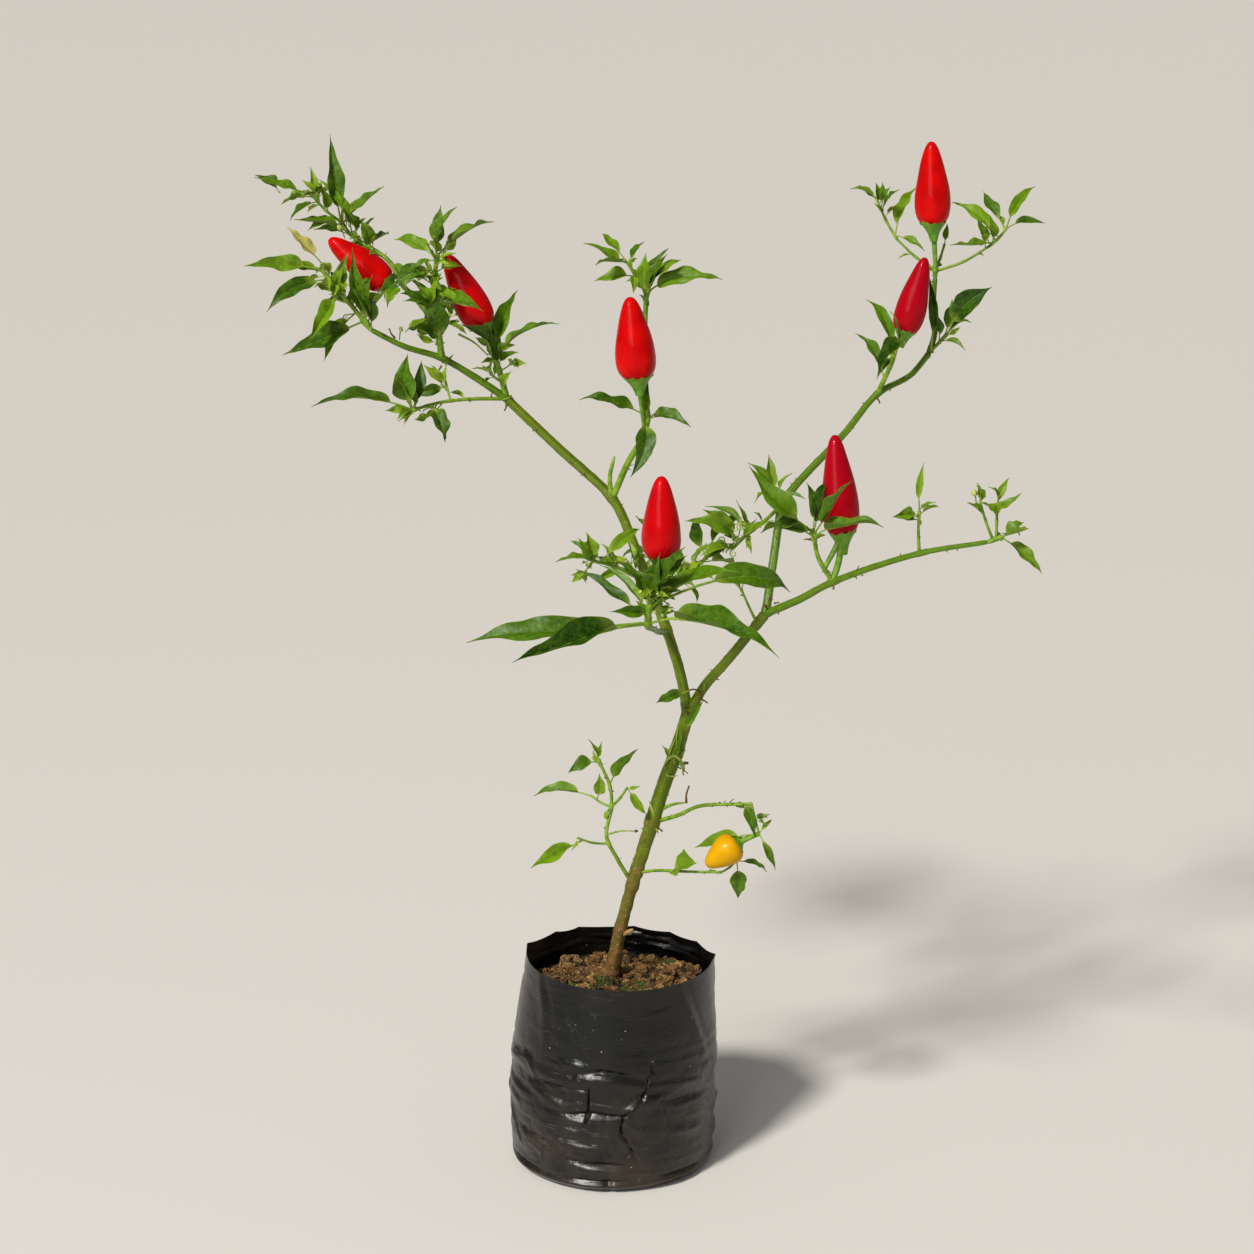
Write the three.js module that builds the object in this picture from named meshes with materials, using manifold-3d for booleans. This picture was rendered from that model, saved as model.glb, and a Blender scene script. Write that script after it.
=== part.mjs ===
// Chilli pepper plant in a black polythene nursery bag. Millimetres, +Z up, +X to the right, -Y to the
// viewer. The origin is the middle of the bag's flat underside. Each limb and each sprig of leaves is a
// solid of its own, and a gap of 0.3 mm parts those that meet.

import * as THREE from 'three';
import { mergeVertices } from 'three/addons/utils/BufferGeometryUtils.js';
import Module from 'manifold-3d';

const wasm = await Module();
wasm.setup();

// Bag and soil
const bagRadius = 62.5;
const bagHeight = 129;
const bagWall = 1.6;
const bagFloor = 2;
const footRounding = 9;
const mouthNarrowing = 6;
const mouthLean = 4.5;
const rimFall = 0.05;
const soilTop = 117;
const clearance = 0.3;

// Where the limbs fork, in order up the plant
const foot = [0, 0, 120];
const mainFork = [47, -4, 290];
const leftKnee = [1, 30, 410];
const leftFork = [-63, 52, 466];
const outerNode = [-101, 42, 492];
const rightFork = [91, -14, 349];
const elbow = [101, 20, 407];
const upperNode = [161, 60, 468];
const upperTip = [193, 72, 491];
const fruitNode = [128, -40, 374];
const budNode = [174, -72, 398];

// Root flare at the foot of the trunk
const flareRadius = 1.4;
const flareHeight = 12;

// Facets: sides of a bough, a thinner bough, a sprig's stem and a twig, and the length between rings
const boughSides = 10;
const thinBoughSides = 8;
const stemSides = 5;
const twigSides = 4;
const boughRing = 18;
const stemRing = 12;

// Leaf proportions, as shares of the leaf's length with its stalk
const stalkShare = 0.2;
const leafWidth = 0.27;
const leafArch = 42;
const leafFold = 0.35;
const leafFacing = 0.85;
const youngLeaf = 13;

// Colours
const filmBlack = { color: 0x1b1d22, roughness: 0.38, metalness: 0 };
const soilBrown = { color: 0x4a3527, roughness: 1, metalness: 0 };
const barkGreen = { color: 0x6b7538, roughness: 0.75, metalness: 0 };
const stemGreen = { color: 0x5f8a2e, roughness: 0.6, metalness: 0 };
const leafGreen = { color: 0x3f7a26, roughness: 0.55, metalness: 0 };

const group = new THREE.Group();

// Chance: a seeded row of numbers between 0 and 1, and one between two limits
let seed = 4054;
function chance() {
  seed = (seed * 16807) % 2147483647;
  return seed / 2147483647;
}
function between(low, high) {
  return low + (high - low) * chance();
}

// Directions: heading turns in the front view from +X up to +Z, toward turns it to the viewer
function aim(heading, toward) {
  const h = THREE.MathUtils.degToRad(heading);
  const t = THREE.MathUtils.degToRad(toward);
  return new THREE.Vector3(Math.cos(h) * Math.cos(t), -Math.sin(t), Math.sin(h) * Math.cos(t));
}
function vector(point) {
  return new THREE.Vector3(...point);
}

// Solids: a closed geometry becomes a solid, and a solid becomes a named mesh of the part
function toSolid(geometry) {
  const bare = geometry.clone();
  bare.deleteAttribute('normal');
  bare.deleteAttribute('uv');
  const merged = mergeVertices(bare, 1e-4);
  return new wasm.Manifold(new wasm.Mesh({
    numProp: 3,
    vertProperties: new Float32Array(merged.attributes.position.array),
    triVerts: new Uint32Array(merged.index.array),
  }));
}
function addNode(name, solid, look) {
  const mesh = solid.getMesh();
  const geometry = new THREE.BufferGeometry();
  geometry.setAttribute('position', new THREE.BufferAttribute(mesh.vertProperties, 3));
  geometry.setIndex(new THREE.BufferAttribute(mesh.triVerts, 1));
  geometry.computeVertexNormals();
  const node = new THREE.Mesh(geometry, new THREE.MeshStandardMaterial(look));
  node.name = name;
  group.add(node);
}
function largestPiece(solid) {
  const pieces = solid.decompose();
  return pieces.reduce((a, b) => (a.volume() > b.volume() ? a : b));
}
function touches(solid, others) {
  return others.some((other) => !solid.intersect(other).isEmpty());
}

// Limb: a cylinder whose rings are laid along a smooth curve. radiusAt gives each ring's radius by its
// share of the way along, and both ends reach on by the same growth as the sides.
function limbSolid(points, radiusAt, sides, steps, growth = 0) {
  const curve = new THREE.CatmullRomCurve3(points.map(vector));
  const frames = curve.computeFrenetFrames(steps);
  const shape = new THREE.CylinderGeometry(1, 1, 1, sides, steps);
  const place = shape.attributes.position;
  for (let i = 0; i < place.count; i += 1) {
    const ring = Math.round((place.getY(i) + 0.5) * steps);
    const share = ring / steps;
    const radius = radiusAt(share) + growth;
    const spot = curve.getPointAt(share)
      .addScaledVector(frames.normals[ring], place.getX(i) * radius)
      .addScaledVector(frames.binormals[ring], -place.getZ(i) * radius);
    if (ring === 0) spot.addScaledVector(frames.tangents[0], -growth);
    if (ring === steps) spot.addScaledVector(frames.tangents[steps], growth);
    place.setXYZ(i, spot.x, spot.y, spot.z);
  }
  return toSolid(shape);
}
function taper(start, end) {
  return (share) => start + (end - start) * share;
}

// Leaf: a thin four-sided cone laid along an arc, narrow along its stalk and widest past the middle,
// its two halves folded up from the midrib, and its face turned up and a little to the viewer.
function leafSolid(root, heading, toward, length, width, roll) {
  const along = aim(heading, toward);
  const sky = new THREE.Vector3(0, -leafFacing, 1);
  const up = sky.addScaledVector(along, -sky.dot(along)).normalize();
  up.applyAxisAngle(along, THREE.MathUtils.degToRad(roll));
  const side = new THREE.Vector3().crossVectors(along, up);
  const arch = THREE.MathUtils.degToRad(leafArch);
  const bend = length / (2 * Math.sin(arch / 2));
  const large = length > 24;
  const rings = large ? [0, stalkShare, 0.47, 0.76, 1] : [0, 0.5, 1];
  const halfWidths = large ? [0.5, 0.6, width / 2, width * 0.33, 0] : [0.5, width / 2, 0];
  const halfDepth = Math.max(0.36, length / 180);
  const shape = new THREE.ConeGeometry(1, 1, 4, rings.length - 1);
  const place = shape.attributes.position;
  for (let i = 0; i < place.count; i += 1) {
    const ring = Math.round((place.getY(i) + 0.5) * (rings.length - 1));
    const last = ring === rings.length - 1;
    const size = last ? 1 : 1 - ring / (rings.length - 1);
    const across = last ? 0 : (place.getX(i) / size) * halfWidths[ring];
    const deep = last ? 0 : (place.getZ(i) / size) * halfDepth;
    const fold = Math.max(Math.abs(across) - 1, 0) * leafFold;
    const angle = arch / 2 - arch * rings[ring];
    const spot = root.clone()
      .addScaledVector(along, bend * (Math.sin(arch / 2) - Math.sin(angle)))
      .addScaledVector(up, bend * (Math.cos(angle) - Math.cos(arch / 2)) + deep + fold)
      .addScaledVector(side, across);
    place.setXYZ(i, spot.x, spot.y, spot.z);
  }
  return toSolid(shape);
}

// Fruit: one turned shape, from the stalk's end through the calyx cup to the blunt tip
function fruitSolid(base, heading, toward, length, width) {
  const r = width / 2;
  const profile = [[0, -2], [1.2, -2], [r * 0.72, 1.5], [r * 0.92, length * 0.14], [r, length * 0.32],
    [r * 0.86, length * 0.58], [r * 0.4, length * 0.92], [0, length]];
  const shape = new THREE.LatheGeometry(profile.map(([x, y]) => new THREE.Vector2(x, y)), 8);
  const turn = new THREE.Quaternion().setFromUnitVectors(new THREE.Vector3(0, 1, 0), aim(heading, toward));
  shape.applyQuaternion(turn).translate(base.x, base.y, base.z);
  return toSolid(shape);
}

// A turned shape whose points are then shifted, each by its place
function turned(profile, sides, shift) {
  const shape = new THREE.LatheGeometry(profile.map(([x, y]) => new THREE.Vector2(x, y)), sides);
  const place = shape.attributes.position;
  for (let i = 0; i < place.count; i += 1) {
    const spot = shift(place.getX(i), -place.getZ(i), place.getY(i));
    place.setXYZ(i, spot.x, spot.y, spot.z);
  }
  return toSolid(shape);
}

// Bag: a film sleeve that rounds in at the foot and narrows to a limp rim that leans and falls to the
// right, with a crease at each side where the flat sleeve was folded. Its profile goes up the outside,
// over the rim and down the inside.
function bagSolid() {
  const shoulder = bagHeight * 0.6;
  const mouth = bagRadius - mouthNarrowing;
  const profile = [[0, 0], [bagRadius - footRounding, 0], [bagRadius - 2.6, 2.6], [bagRadius, footRounding],
    [bagRadius, shoulder], [mouth, bagHeight], [mouth - bagWall, bagHeight], [bagRadius - bagWall, shoulder],
    [bagRadius - bagWall, footRounding], [bagRadius - 2.6 - bagWall, 3.8],
    [bagRadius - footRounding, bagFloor], [0, bagFloor]];
  return turned(profile, 30, (x, y, height) => {
    const angle = Math.atan2(y, x);
    const share = height / bagHeight;
    const crease = 1 + 0.04 * share ** 3 * Math.abs(Math.cos(angle)) ** 8;
    const fall = height === bagHeight ? rimFall * x : 0;
    return new THREE.Vector3(x * crease + mouthLean * share ** 2, y, height - fall);
  });
}

// Soil: a filling with a lumpy top that rises to a flat seat under the trunk
function soilSolid() {
  const seat = 9.5;
  const reach = bagRadius - bagWall - 1.2;
  const topReach = reach - mouthNarrowing * 0.8;
  const profile = [[0, bagFloor + clearance], [reach - 9, bagFloor + clearance], [reach, footRounding + 4],
    [reach, bagHeight * 0.6 - 2], [topReach, soilTop - 2], [topReach - 8, soilTop], [topReach * 0.66, soilTop],
    [topReach * 0.4, soilTop + 0.5], [seat, foot[2] - clearance], [0, foot[2] - clearance]];
  return turned(profile, 22, (x, y, height) => {
    const out = Math.hypot(x, y);
    const lumpy = height > soilTop - 1 && out > seat + 1;
    const lump = 1.6 * Math.sin(x * 0.31 + 1) * Math.cos(y * 0.27) + Math.sin(x * 0.13 - y * 0.19);
    const lean = mouthLean * Math.min(out / topReach, 1) * (height / bagHeight) ** 2;
    return new THREE.Vector3(x + lean, y, height + (lumpy ? lump : 0));
  });
}

// The limbs, each with its curve, its radius at both ends, and the limbs whose room it leaves
const limbs = {
  trunk: {
    points: [[-1, 0, 114], foot, [6, -1, 150], [14, -2, 181], [22, -3, 208], [32, -4, 242], [39, -5, 262], mainFork],
    radii: [4.3, 4],
    meets: [],
  },
  left_bough: {
    points: [[46, -4, 285], [41, 1, 309], [34, 6, 331], [17, 18, 374], [4, 28, 404], [-3, 32, 413],
      [-31, 42, 437], [-63, 52, 466]],
    radii: [3.5, 2.8],
    meets: ['trunk'],
  },
  right_bough: {
    points: [[46, -4, 285], [56, -6, 303], [69, -8, 319], rightFork],
    radii: [3.5, 3.1],
    meets: ['trunk', 'left_bough'],
  },
  outer_left_bough: {
    points: [leftFork, [-82, 47, 480], outerNode, [-123, 36, 500], [-142, 34, 510]],
    radii: [2.5, 1.6],
    meets: ['left_bough'],
  },
  left_riser: {
    points: [outerNode, [-104, 44, 510], [-114, 48, 524], [-125, 50, 535]],
    radii: [2, 1.5],
    meets: ['outer_left_bough'],
  },
  right_riser: {
    points: [rightFork, [96, 2, 378], elbow],
    radii: [2.9, 2.7],
    meets: ['right_bough'],
  },
  upper_right_bough: {
    points: [elbow, [109, 25, 417], [140, 45, 446], upperNode, [181, 67, 478], upperTip],
    radii: [2.7, 1.9],
    meets: ['right_riser'],
  },
  top_right_bough: {
    points: [upperTip, [196, 74, 503], [195, 77, 520], [196, 80, 536]],
    radii: [1.8, 1.5],
    meets: ['upper_right_bough'],
  },
  far_right_bough: {
    points: [rightFork, [110, -28, 361], fruitNode, budNode, [210, -92, 409]],
    radii: [2.7, 1.4],
    meets: ['right_bough', 'right_riser'],
  },
  front_bough: {
    points: [[33, 7, 333], [28, -18, 339], [25, -48, 348], [21, -80, 357]],
    radii: [2.2, 1.7],
    meets: ['left_bough'],
  },
};

// The sprigs. stem is the curve of the main stem and radius its thickness at the root.
// A twig's row says which stem or twig it stands on (0 is the stem), the share of the way along, its
// heading, toward and length. A leaf's row says the same, its length running on to the leaf's tip.
// A fruit's row goes on with the heading, toward, length and width of the fruit on its stalk.
// young is how many small leaves stand about the stem's upper half.
const sprigs = {
  left_tip_sprig: {
    stem: [[-142, 34, 510], [-151, 32, 522], [-161, 28, 535], [-169, 26, 546]],
    radius: 1.5,
    twigs: [],
    leaves: [[0, 1, 175, 20, 47], [0, 0.85, 205, 35, 46], [0, 0.65, 240, 45, 42], [0, 0.15, 200, 30, 56],
      [0, 0.5, 85, 15, 30], [0, 0.12, 100, -45, 25], [0, 0.08, 60, 40, 34], [0, 0.9, 290, 60, 16]],
    fruits: [],
    young: 5,
  },
  upper_left_sprig: {
    stem: [[-125, 50, 535], [-132, 54, 548], [-156, 60, 564], [-161, 60, 571]],
    radius: 1.5,
    twigs: [[0, 1, 135, 15, 23]],
    leaves: [[0, 1, 95, 5, 52, 0.24], [0, 0.97, 40, 20, 38], [0, 0.9, 80, -40, 20], [1, 0.9, 100, -20, 20],
      [1, 1, 160, 25, 38], [1, 0.8, 215, 45, 25], [0, 0.6, 20, -60, 24], [0, 0.15, 250, 40, 22]],
    fruits: [[0, 0.12, 221, 52, 11, 142, 0, 43, 20]],
    young: 6,
  },
  inner_left_sprig: {
    stem: [outerNode, [-102, 36, 514], [-103, 30, 542], [-102, 28, 555]],
    radius: 1.4,
    twigs: [],
    leaves: [[0, 1, 85, -10, 29], [0, 1, 65, 20, 34], [0, 0.98, 30, -25, 42], [0, 0.95, 160, -35, 34],
      [0, 0.95, 200, 20, 18], [0, 0.9, 110, 45, 22], [0, 0.5, 80, 35, 28], [0, 0.45, 125, 20, 28],
      [0, 0.42, 15, 50, 46], [0, 0.35, 195, 30, 23]],
    fruits: [],
    young: 4,
  },
  back_left_sprig: {
    stem: [outerNode, [-104, 62, 500], [-108, 82, 512]],
    radius: 1.4,
    twigs: [[0, 0.6, 60, -20, 22]],
    leaves: [[0, 1, 150, -45, 34], [0, 1, 90, -30, 28], [0, 0.9, 40, -60, 36], [0, 0.8, 200, -55, 30],
      [1, 1, 110, -20, 22], [1, 0.9, 30, -50, 26], [0, 0.6, 120, 20, 22]],
    fruits: [],
    young: 4,
  },
  back_middle_sprig: {
    stem: [[26, 12, 352], [40, 34, 356], [58, 62, 366]],
    radius: 1.4,
    twigs: [[0, 0.6, 150, -30, 26]],
    leaves: [[0, 1, 40, -40, 40], [0, 1, 100, -55, 34], [0, 0.9, 340, -50, 38], [0, 0.8, 160, -60, 32],
      [1, 1, 120, -40, 30], [1, 0.9, 190, -30, 26], [0, 0.7, 60, -10, 20]],
    fruits: [],
    young: 4,
  },
  left_fruit_sprig: {
    stem: [leftFork, [-67, 48, 483], [-71, 44, 495]],
    radius: 2,
    twigs: [],
    leaves: [[0, 0.9, 70, -30, 46], [0, 0.8, 30, 10, 46], [0, 0.6, 125, 60, 20]],
    fruits: [[0, 1, 109, 0, 16, 116, 0, 48, 21.5]],
    young: 3,
  },
  low_left_sprig: {
    stem: [leftFork, [-84, 38, 468], [-101, 26, 468], [-117, 16, 465]],
    radius: 1.2,
    twigs: [[0, 0.6, 105, -20, 18]],
    leaves: [[0, 1, 175, 15, 60, 0.22], [0, 1, 80, -15, 30], [0, 0.97, 115, 30, 24], [0, 0.98, 210, 50, 16],
      [0, 0.85, 305, 30, 20], [1, 1, 60, -40, 14]],
    fruits: [],
    young: 3,
  },
  crown_middle_sprig: {
    stem: [leftKnee, [10, 24, 432], [20, 18, 452], [20, 14, 483], [20, 22, 518], [21, 26, 535]],
    radius: 2,
    twigs: [[0, 1, 125, 10, 20]],
    leaves: [[1, 1, 155, 10, 29], [1, 1, 135, -35, 26], [1, 0.95, 175, 50, 30], [1, 0.9, 55, -40, 20],
      [0, 1, 60, -20, 28], [0, 1, 45, 40, 34], [0, 0.97, 5, 15, 46], [1, 0.6, 265, 60, 20],
      [0, 0.43, 165, 10, 42], [0, 0.42, 355, 35, 32], [0, 0.4, 252, 30, 36], [0, 0.45, 110, -40, 24]],
    fruits: [[0, 0.36, 97, 25, 37, 96, 0, 48.5, 24]],
    young: 6,
  },
  front_sprig: {
    stem: [[21, -80, 357], [22, -88, 371], [25, -90, 381]],
    radius: 1.6,
    twigs: [],
    leaves: [[0, 0.15, 185, 5, 103, 0.2], [0, 0.1, 186, 40, 98, 0.24], [0, 0.1, 358, 45, 100, 0.25],
      [0, 0.6, 0, -25, 90, 0.19], [0, 0.5, 29, 28, 66, 0.22], [0, 0.9, 62, 30, 42, 0.3],
      [0, 0.5, 125, -5, 36, 0.32], [0, 0.6, 80, 22, 38, 0.28], [0, 0.3, 149, -17, 50, 0.2],
      [0, 0.3, 138, -32, 44, 0.16]],
    fruits: [[0, 1, 78, -17, 17.5, 90, 0, 47.5, 22.7]],
    young: 6,
  },
  left_inner_sprig: {
    stem: [[23, 13, 358], [11, 0, 371], [-1, -8, 377], [-11, -14, 381]],
    radius: 1.1,
    twigs: [],
    leaves: [[0, 1, 175, 30, 25], [0, 0.9, 35, -30, 34], [0, 0.95, 120, 10, 14]],
    fruits: [],
    young: 2,
  },
  curly_sprig: {
    stem: [elbow, [90, 10, 399], [77, 0, 391], [71, -5, 386]],
    radius: 1.2,
    twigs: [],
    leaves: [[0, 0.85, 155, 20, 38], [0, 0.7, 150, -30, 32], [0, 0.6, 115, 10, 22], [0, 1, 185, 30, 22],
      [0, 0.95, 100, 60, 23], [0, 0.9, 200, -20, 30], [0, 0.8, 60, 30, 20]],
    fruits: [],
    young: 7,
  },
  elbow_sprig: {
    stem: [elbow, [99, 14, 415]],
    radius: 1,
    twigs: [],
    leaves: [[0, 1, 135, -5, 26], [0, 0.8, 0, 30, 18], [0, 0.8, 180, 50, 24], [0, 1, 60, 10, 16]],
    fruits: [],
    young: 1,
  },
  right_fruit_sprig: {
    stem: [fruitNode, [119, -44, 390], [116, -46, 405]],
    radius: 1.5,
    twigs: [],
    leaves: [[0, 1, 170, 20, 24], [0, 1, 70, -25, 32], [0, 0.95, 60, 20, 42], [0, 0.9, 15, 30, 45],
      [0, 0.85, 120, 60, 22]],
    fruits: [[0, 0.3, 59, -19, 22, 95, -6, 58.5, 21.8]],
    young: 4,
  },
  bud_sprig: {
    stem: [budNode, [173, -74, 411], [173, -76, 423]],
    radius: 1,
    twigs: [],
    leaves: [[0, 0.8, 170, 20, 17], [0, 1, 40, 40, 14], [0, 1, 85, -10, 28, 0.16]],
    fruits: [],
    young: 2,
  },
  far_right_sprig: {
    stem: [[210, -92, 409], [214, -93, 411], [217, -94, 412]],
    radius: 1.3,
    twigs: [[0, 0.35, 110, 5, 24], [0, 0.6, 88, -15, 20]],
    leaves: [[2, 0.9, 65, -20, 18], [2, 0.8, 40, 20, 18], [2, 1, 120, 30, 14], [0, 1, 30, 40, 20, 0.5],
      [0, 1, 318, 10, 30], [1, 1, 100, 0, 10], [0, 1, 350, -50, 20]],
    fruits: [],
    young: 2,
  },
  upper_right_sprig: {
    stem: [upperNode, [167, 54, 484], [171, 50, 498]],
    radius: 1.6,
    twigs: [],
    leaves: [[0, 0.6, 110, -35, 48, 0.3], [0, 0.8, 225, 50, 26, 0.4], [0, 0.7, 75, -60, 26]],
    fruits: [[0, 1, 62, 0, 9, 76, 0, 46.5, 18.6]],
    young: 2,
  },
  outer_right_sprig: {
    stem: [upperTip, [198, 70, 497], [203, 68, 503]],
    radius: 1.1,
    twigs: [],
    leaves: [[0, 1, 50, 15, 40, 0.36], [0, 0.8, 75, -30, 26], [0, 0.6, 345, 40, 19], [0, 0.9, 20, -40, 24]],
    fruits: [],
    young: 2,
  },
  top_right_sprig: {
    stem: [[196, 80, 536], [196, 79, 541]],
    radius: 1.4,
    twigs: [[0, 0.9, 143, -20, 30], [1, 1, 118, -10, 28], [0, 0.7, 26, 5, 36], [3, 1, 50, 15, 14],
      [0, 0.9, 65, -40, 20]],
    leaves: [[2, 1, 160, 20, 19], [2, 0.75, 85, -30, 18], [2, 0.7, 60, 40, 22], [2, 0.1, 65, -10, 34],
      [2, 0.1, 335, 30, 22], [4, 0.3, 140, -20, 36], [4, 0.2, 180, 35, 36], [4, 1, 120, -40, 31],
      [4, 1, 55, -10, 31], [4, 1, 10, 25, 25], [5, 1, 80, -30, 14]],
    fruits: [[0, 1, 95, 5, 26.5, 93, 0, 50, 21.7]],
    young: 5,
  },
  thin_right_twig: {
    stem: [[86, -13, 343], [82, -20, 352], [76, -24, 366]],
    radius: 0.9,
    twigs: [],
    leaves: [[0, 1, 120, 10, 20, 0.16], [0, 1, 60, -20, 16]],
    fruits: [],
    young: 1,
  },
  low_left_shoot: {
    stem: [[12, -2, 178], [3, -9, 196], [-3, -12, 211], [0, -8, 228], [-1, -4, 240], [-8, 0, 255]],
    radius: 1.3,
    twigs: [[0, 0.38, 160, 25, 22], [0, 0.65, 53, 7, 16], [0, 0.65, 160, -33, 16]],
    leaves: [[1, 0.8, 208, 8, 36, 0.36], [3, 0.85, 181, -9, 37, 0.3], [2, 1, 305, 6, 20, 0.34],
      [0, 0.98, 193, 22, 21, 0.4], [0, 1, 114, 8, 15], [0, 0.8, 55, 14, 32, 0.36], [3, 0.7, 85, 13, 19, 0.4],
      [0, 1, 80, 20, 14]],
    fruits: [],
    young: 3,
  },
  low_right_shoot: {
    stem: [[27, -3, 217], [41, -14, 225], [53, -22, 233], [83, -34, 238]],
    radius: 1.3,
    twigs: [[0, 1, 285, 15, 18]],
    leaves: [[1, 1, 202, -23, 44], [1, 0.55, 28, 12, 10, 0.4], [1, 1, 295, 9, 24, 0.24], [1, 1, 40, -30, 12]],
    fruits: [[1, 1, 209, -14, 15, 213, 15, 23, 19]],
    young: 3,
  },
  low_right_twig: {
    stem: [[16, -2, 184], [27, -12, 189], [47, -20, 191], [66, -24, 192]],
    radius: 1,
    twigs: [[0, 1, 41, 9, 12]],
    leaves: [[0, 0.5, 75, 30, 20, 0.5], [1, 1, 272, 6, 23, 0.5], [1, 1, 338, -6, 20, 0.24]],
    fruits: [],
    young: 1,
  },
};

// Builds the limbs. Each is cut clear of those it meets, so that it stands 0.3 mm off them, and the
// trunk is cut flat at the ground.
const ground = toSolid(new THREE.BoxGeometry(40, 40, 20).translate(foot[0], foot[1], foot[2] - 10));
const grown = {};
for (const [name, limb] of Object.entries(limbs)) {
  const length = new THREE.CatmullRomCurve3(limb.points.map(vector)).getLength();
  const even = taper(...limb.radii);
  const flare = name === 'trunk' ? flareRadius : 0;
  const radiusAt = (share) => even(share) + flare * Math.exp((-share * length) / flareHeight);
  const thick = limb.radii[0] > 3;
  const sides = thick ? boughSides : thinBoughSides;
  const steps = Math.max(4, Math.round(length / (thick ? boughRing * 0.75 : boughRing)));
  let solid = limbSolid(limb.points, radiusAt, sides, steps);
  if (name === 'trunk') solid = solid.subtract(ground);
  for (const other of limb.meets) solid = solid.subtract(grown[other]);
  grown[name] = limbSolid(limb.points, radiusAt, sides, steps, clearance);
  addNode(name, largestPiece(solid), thick ? barkGreen : stemGreen);
}

// Builds the sprigs. A twig, leaf or fruit that would touch a limb or an earlier sprig is left out.
const limbRoom = Object.values(grown);
const taken = [];
const leftOut = [];
for (const [name, sprig] of Object.entries(sprigs)) {
  const tip = sprig.radius * 0.7;
  const lines = [new THREE.CatmullRomCurve3(sprig.stem.map(vector))];
  const steps = Math.max(2, Math.round(lines[0].getLength() / stemRing));
  let solid = limbSolid(sprig.stem, taper(sprig.radius, tip), stemSides, steps);
  for (const room of limbRoom) solid = solid.subtract(room);
  solid = largestPiece(solid);
  const join = (piece, note) => {
    if (touches(piece, taken) || touches(piece, limbRoom)) leftOut.push(`${name}: ${note}`);
    else solid = solid.add(piece);
  };

  for (const [on, share, heading, toward, length] of sprig.twigs) {
    const root = lines[on].getPointAt(share);
    const end = root.clone().addScaledVector(aim(heading, toward), length);
    const middle = root.clone().lerp(end, 0.5).add(new THREE.Vector3(0, 0, -length * 0.06));
    const points = [root.toArray(), middle.toArray(), end.toArray()];
    lines.push(new THREE.CatmullRomCurve3(points.map(vector)));
    join(limbSolid(points, taper(tip * 0.9, tip * 0.65), twigSides, 3), `twig ${lines.length - 1}`);
  }

  for (const [on, share, heading, toward, length, breadth = leafWidth] of sprig.leaves) {
    const root = lines[on].getPointAt(share);
    const width = length * breadth * between(0.9, 1.1);
    const leaf = leafSolid(root, heading, toward, length, width, between(-22, 22));
    join(leaf, `leaf ${heading} ${toward} ${length}`);
  }

  for (const [on, share, heading, toward, stalk, fruitHeading, fruitToward, length, width] of sprig.fruits) {
    const root = lines[on].getPointAt(share);
    const out = aim(heading, toward);
    const base = root.clone().addScaledVector(out, stalk);
    const turn = base.clone().addScaledVector(aim(fruitHeading, fruitToward), 1);
    const middle = root.clone().lerp(base, 0.55);
    const points = [root.toArray(), middle.toArray(), turn.toArray()];
    join(limbSolid(points, taper(0.9, 1.3), stemSides, 3), 'fruit stalk');
    join(fruitSolid(base, fruitHeading, fruitToward, length, width), 'fruit');
  }

  for (let i = 0; i < sprig.young; i += 1) {
    const line = lines[i % lines.length];
    const root = line.getPointAt(between(0.5, 1));
    const lean = line.getTangentAt(1);
    const heading = THREE.MathUtils.radToDeg(Math.atan2(lean.z, lean.x)) + between(-80, 80);
    const length = youngLeaf * between(0.7, 1.3);
    join(leafSolid(root, heading, between(-75, 55), length, length * leafWidth, between(-40, 40)), 'young');
  }

  const whole = largestPiece(solid);
  taken.push(whole);
  addNode(name, whole, leafGreen);
}

addNode('grow_bag', bagSolid(), filmBlack);
addNode('soil', soilSolid(), soilBrown);

group.userData.leftOut = leftOut;

export default group;
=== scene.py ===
import math

import bpy
import numpy as np
from mathutils import Matrix, Vector, noise


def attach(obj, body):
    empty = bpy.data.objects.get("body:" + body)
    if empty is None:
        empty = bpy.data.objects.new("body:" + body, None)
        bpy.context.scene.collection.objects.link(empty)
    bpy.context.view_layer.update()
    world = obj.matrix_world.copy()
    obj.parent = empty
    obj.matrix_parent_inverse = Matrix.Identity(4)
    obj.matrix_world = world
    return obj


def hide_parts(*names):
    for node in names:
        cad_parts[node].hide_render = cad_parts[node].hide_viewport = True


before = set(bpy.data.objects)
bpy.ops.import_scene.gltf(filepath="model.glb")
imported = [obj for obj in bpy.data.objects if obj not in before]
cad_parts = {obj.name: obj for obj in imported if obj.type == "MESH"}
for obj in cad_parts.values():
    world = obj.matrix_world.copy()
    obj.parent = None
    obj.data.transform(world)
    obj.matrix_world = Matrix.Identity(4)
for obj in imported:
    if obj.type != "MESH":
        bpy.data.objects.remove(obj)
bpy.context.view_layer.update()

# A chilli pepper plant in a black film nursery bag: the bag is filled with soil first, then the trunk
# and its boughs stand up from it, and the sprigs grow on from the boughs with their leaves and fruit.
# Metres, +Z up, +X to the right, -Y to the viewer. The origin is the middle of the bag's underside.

bpy.ops.object.select_all(action="DESELECT")

# Camera
# A long lens a step and a half in front of the plant, a little above the middle of its crown and
# looking down 14 degrees.
camera_data = bpy.data.cameras.new("camera")
camera_data.sensor_width = 36
camera_data.lens = 77.51


def stand(name, data, place, turn):
    """Stands a camera or a lamp in the scene."""
    stood = bpy.data.objects.new(name, data)
    stood.location = place
    stood.rotation_euler = turn
    bpy.context.scene.collection.objects.link(stood)
    return stood


bpy.context.scene.camera = stand("camera", camera_data, (0.00937, -1.5577, 0.7258), (math.radians(76), 0, 0))

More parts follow.
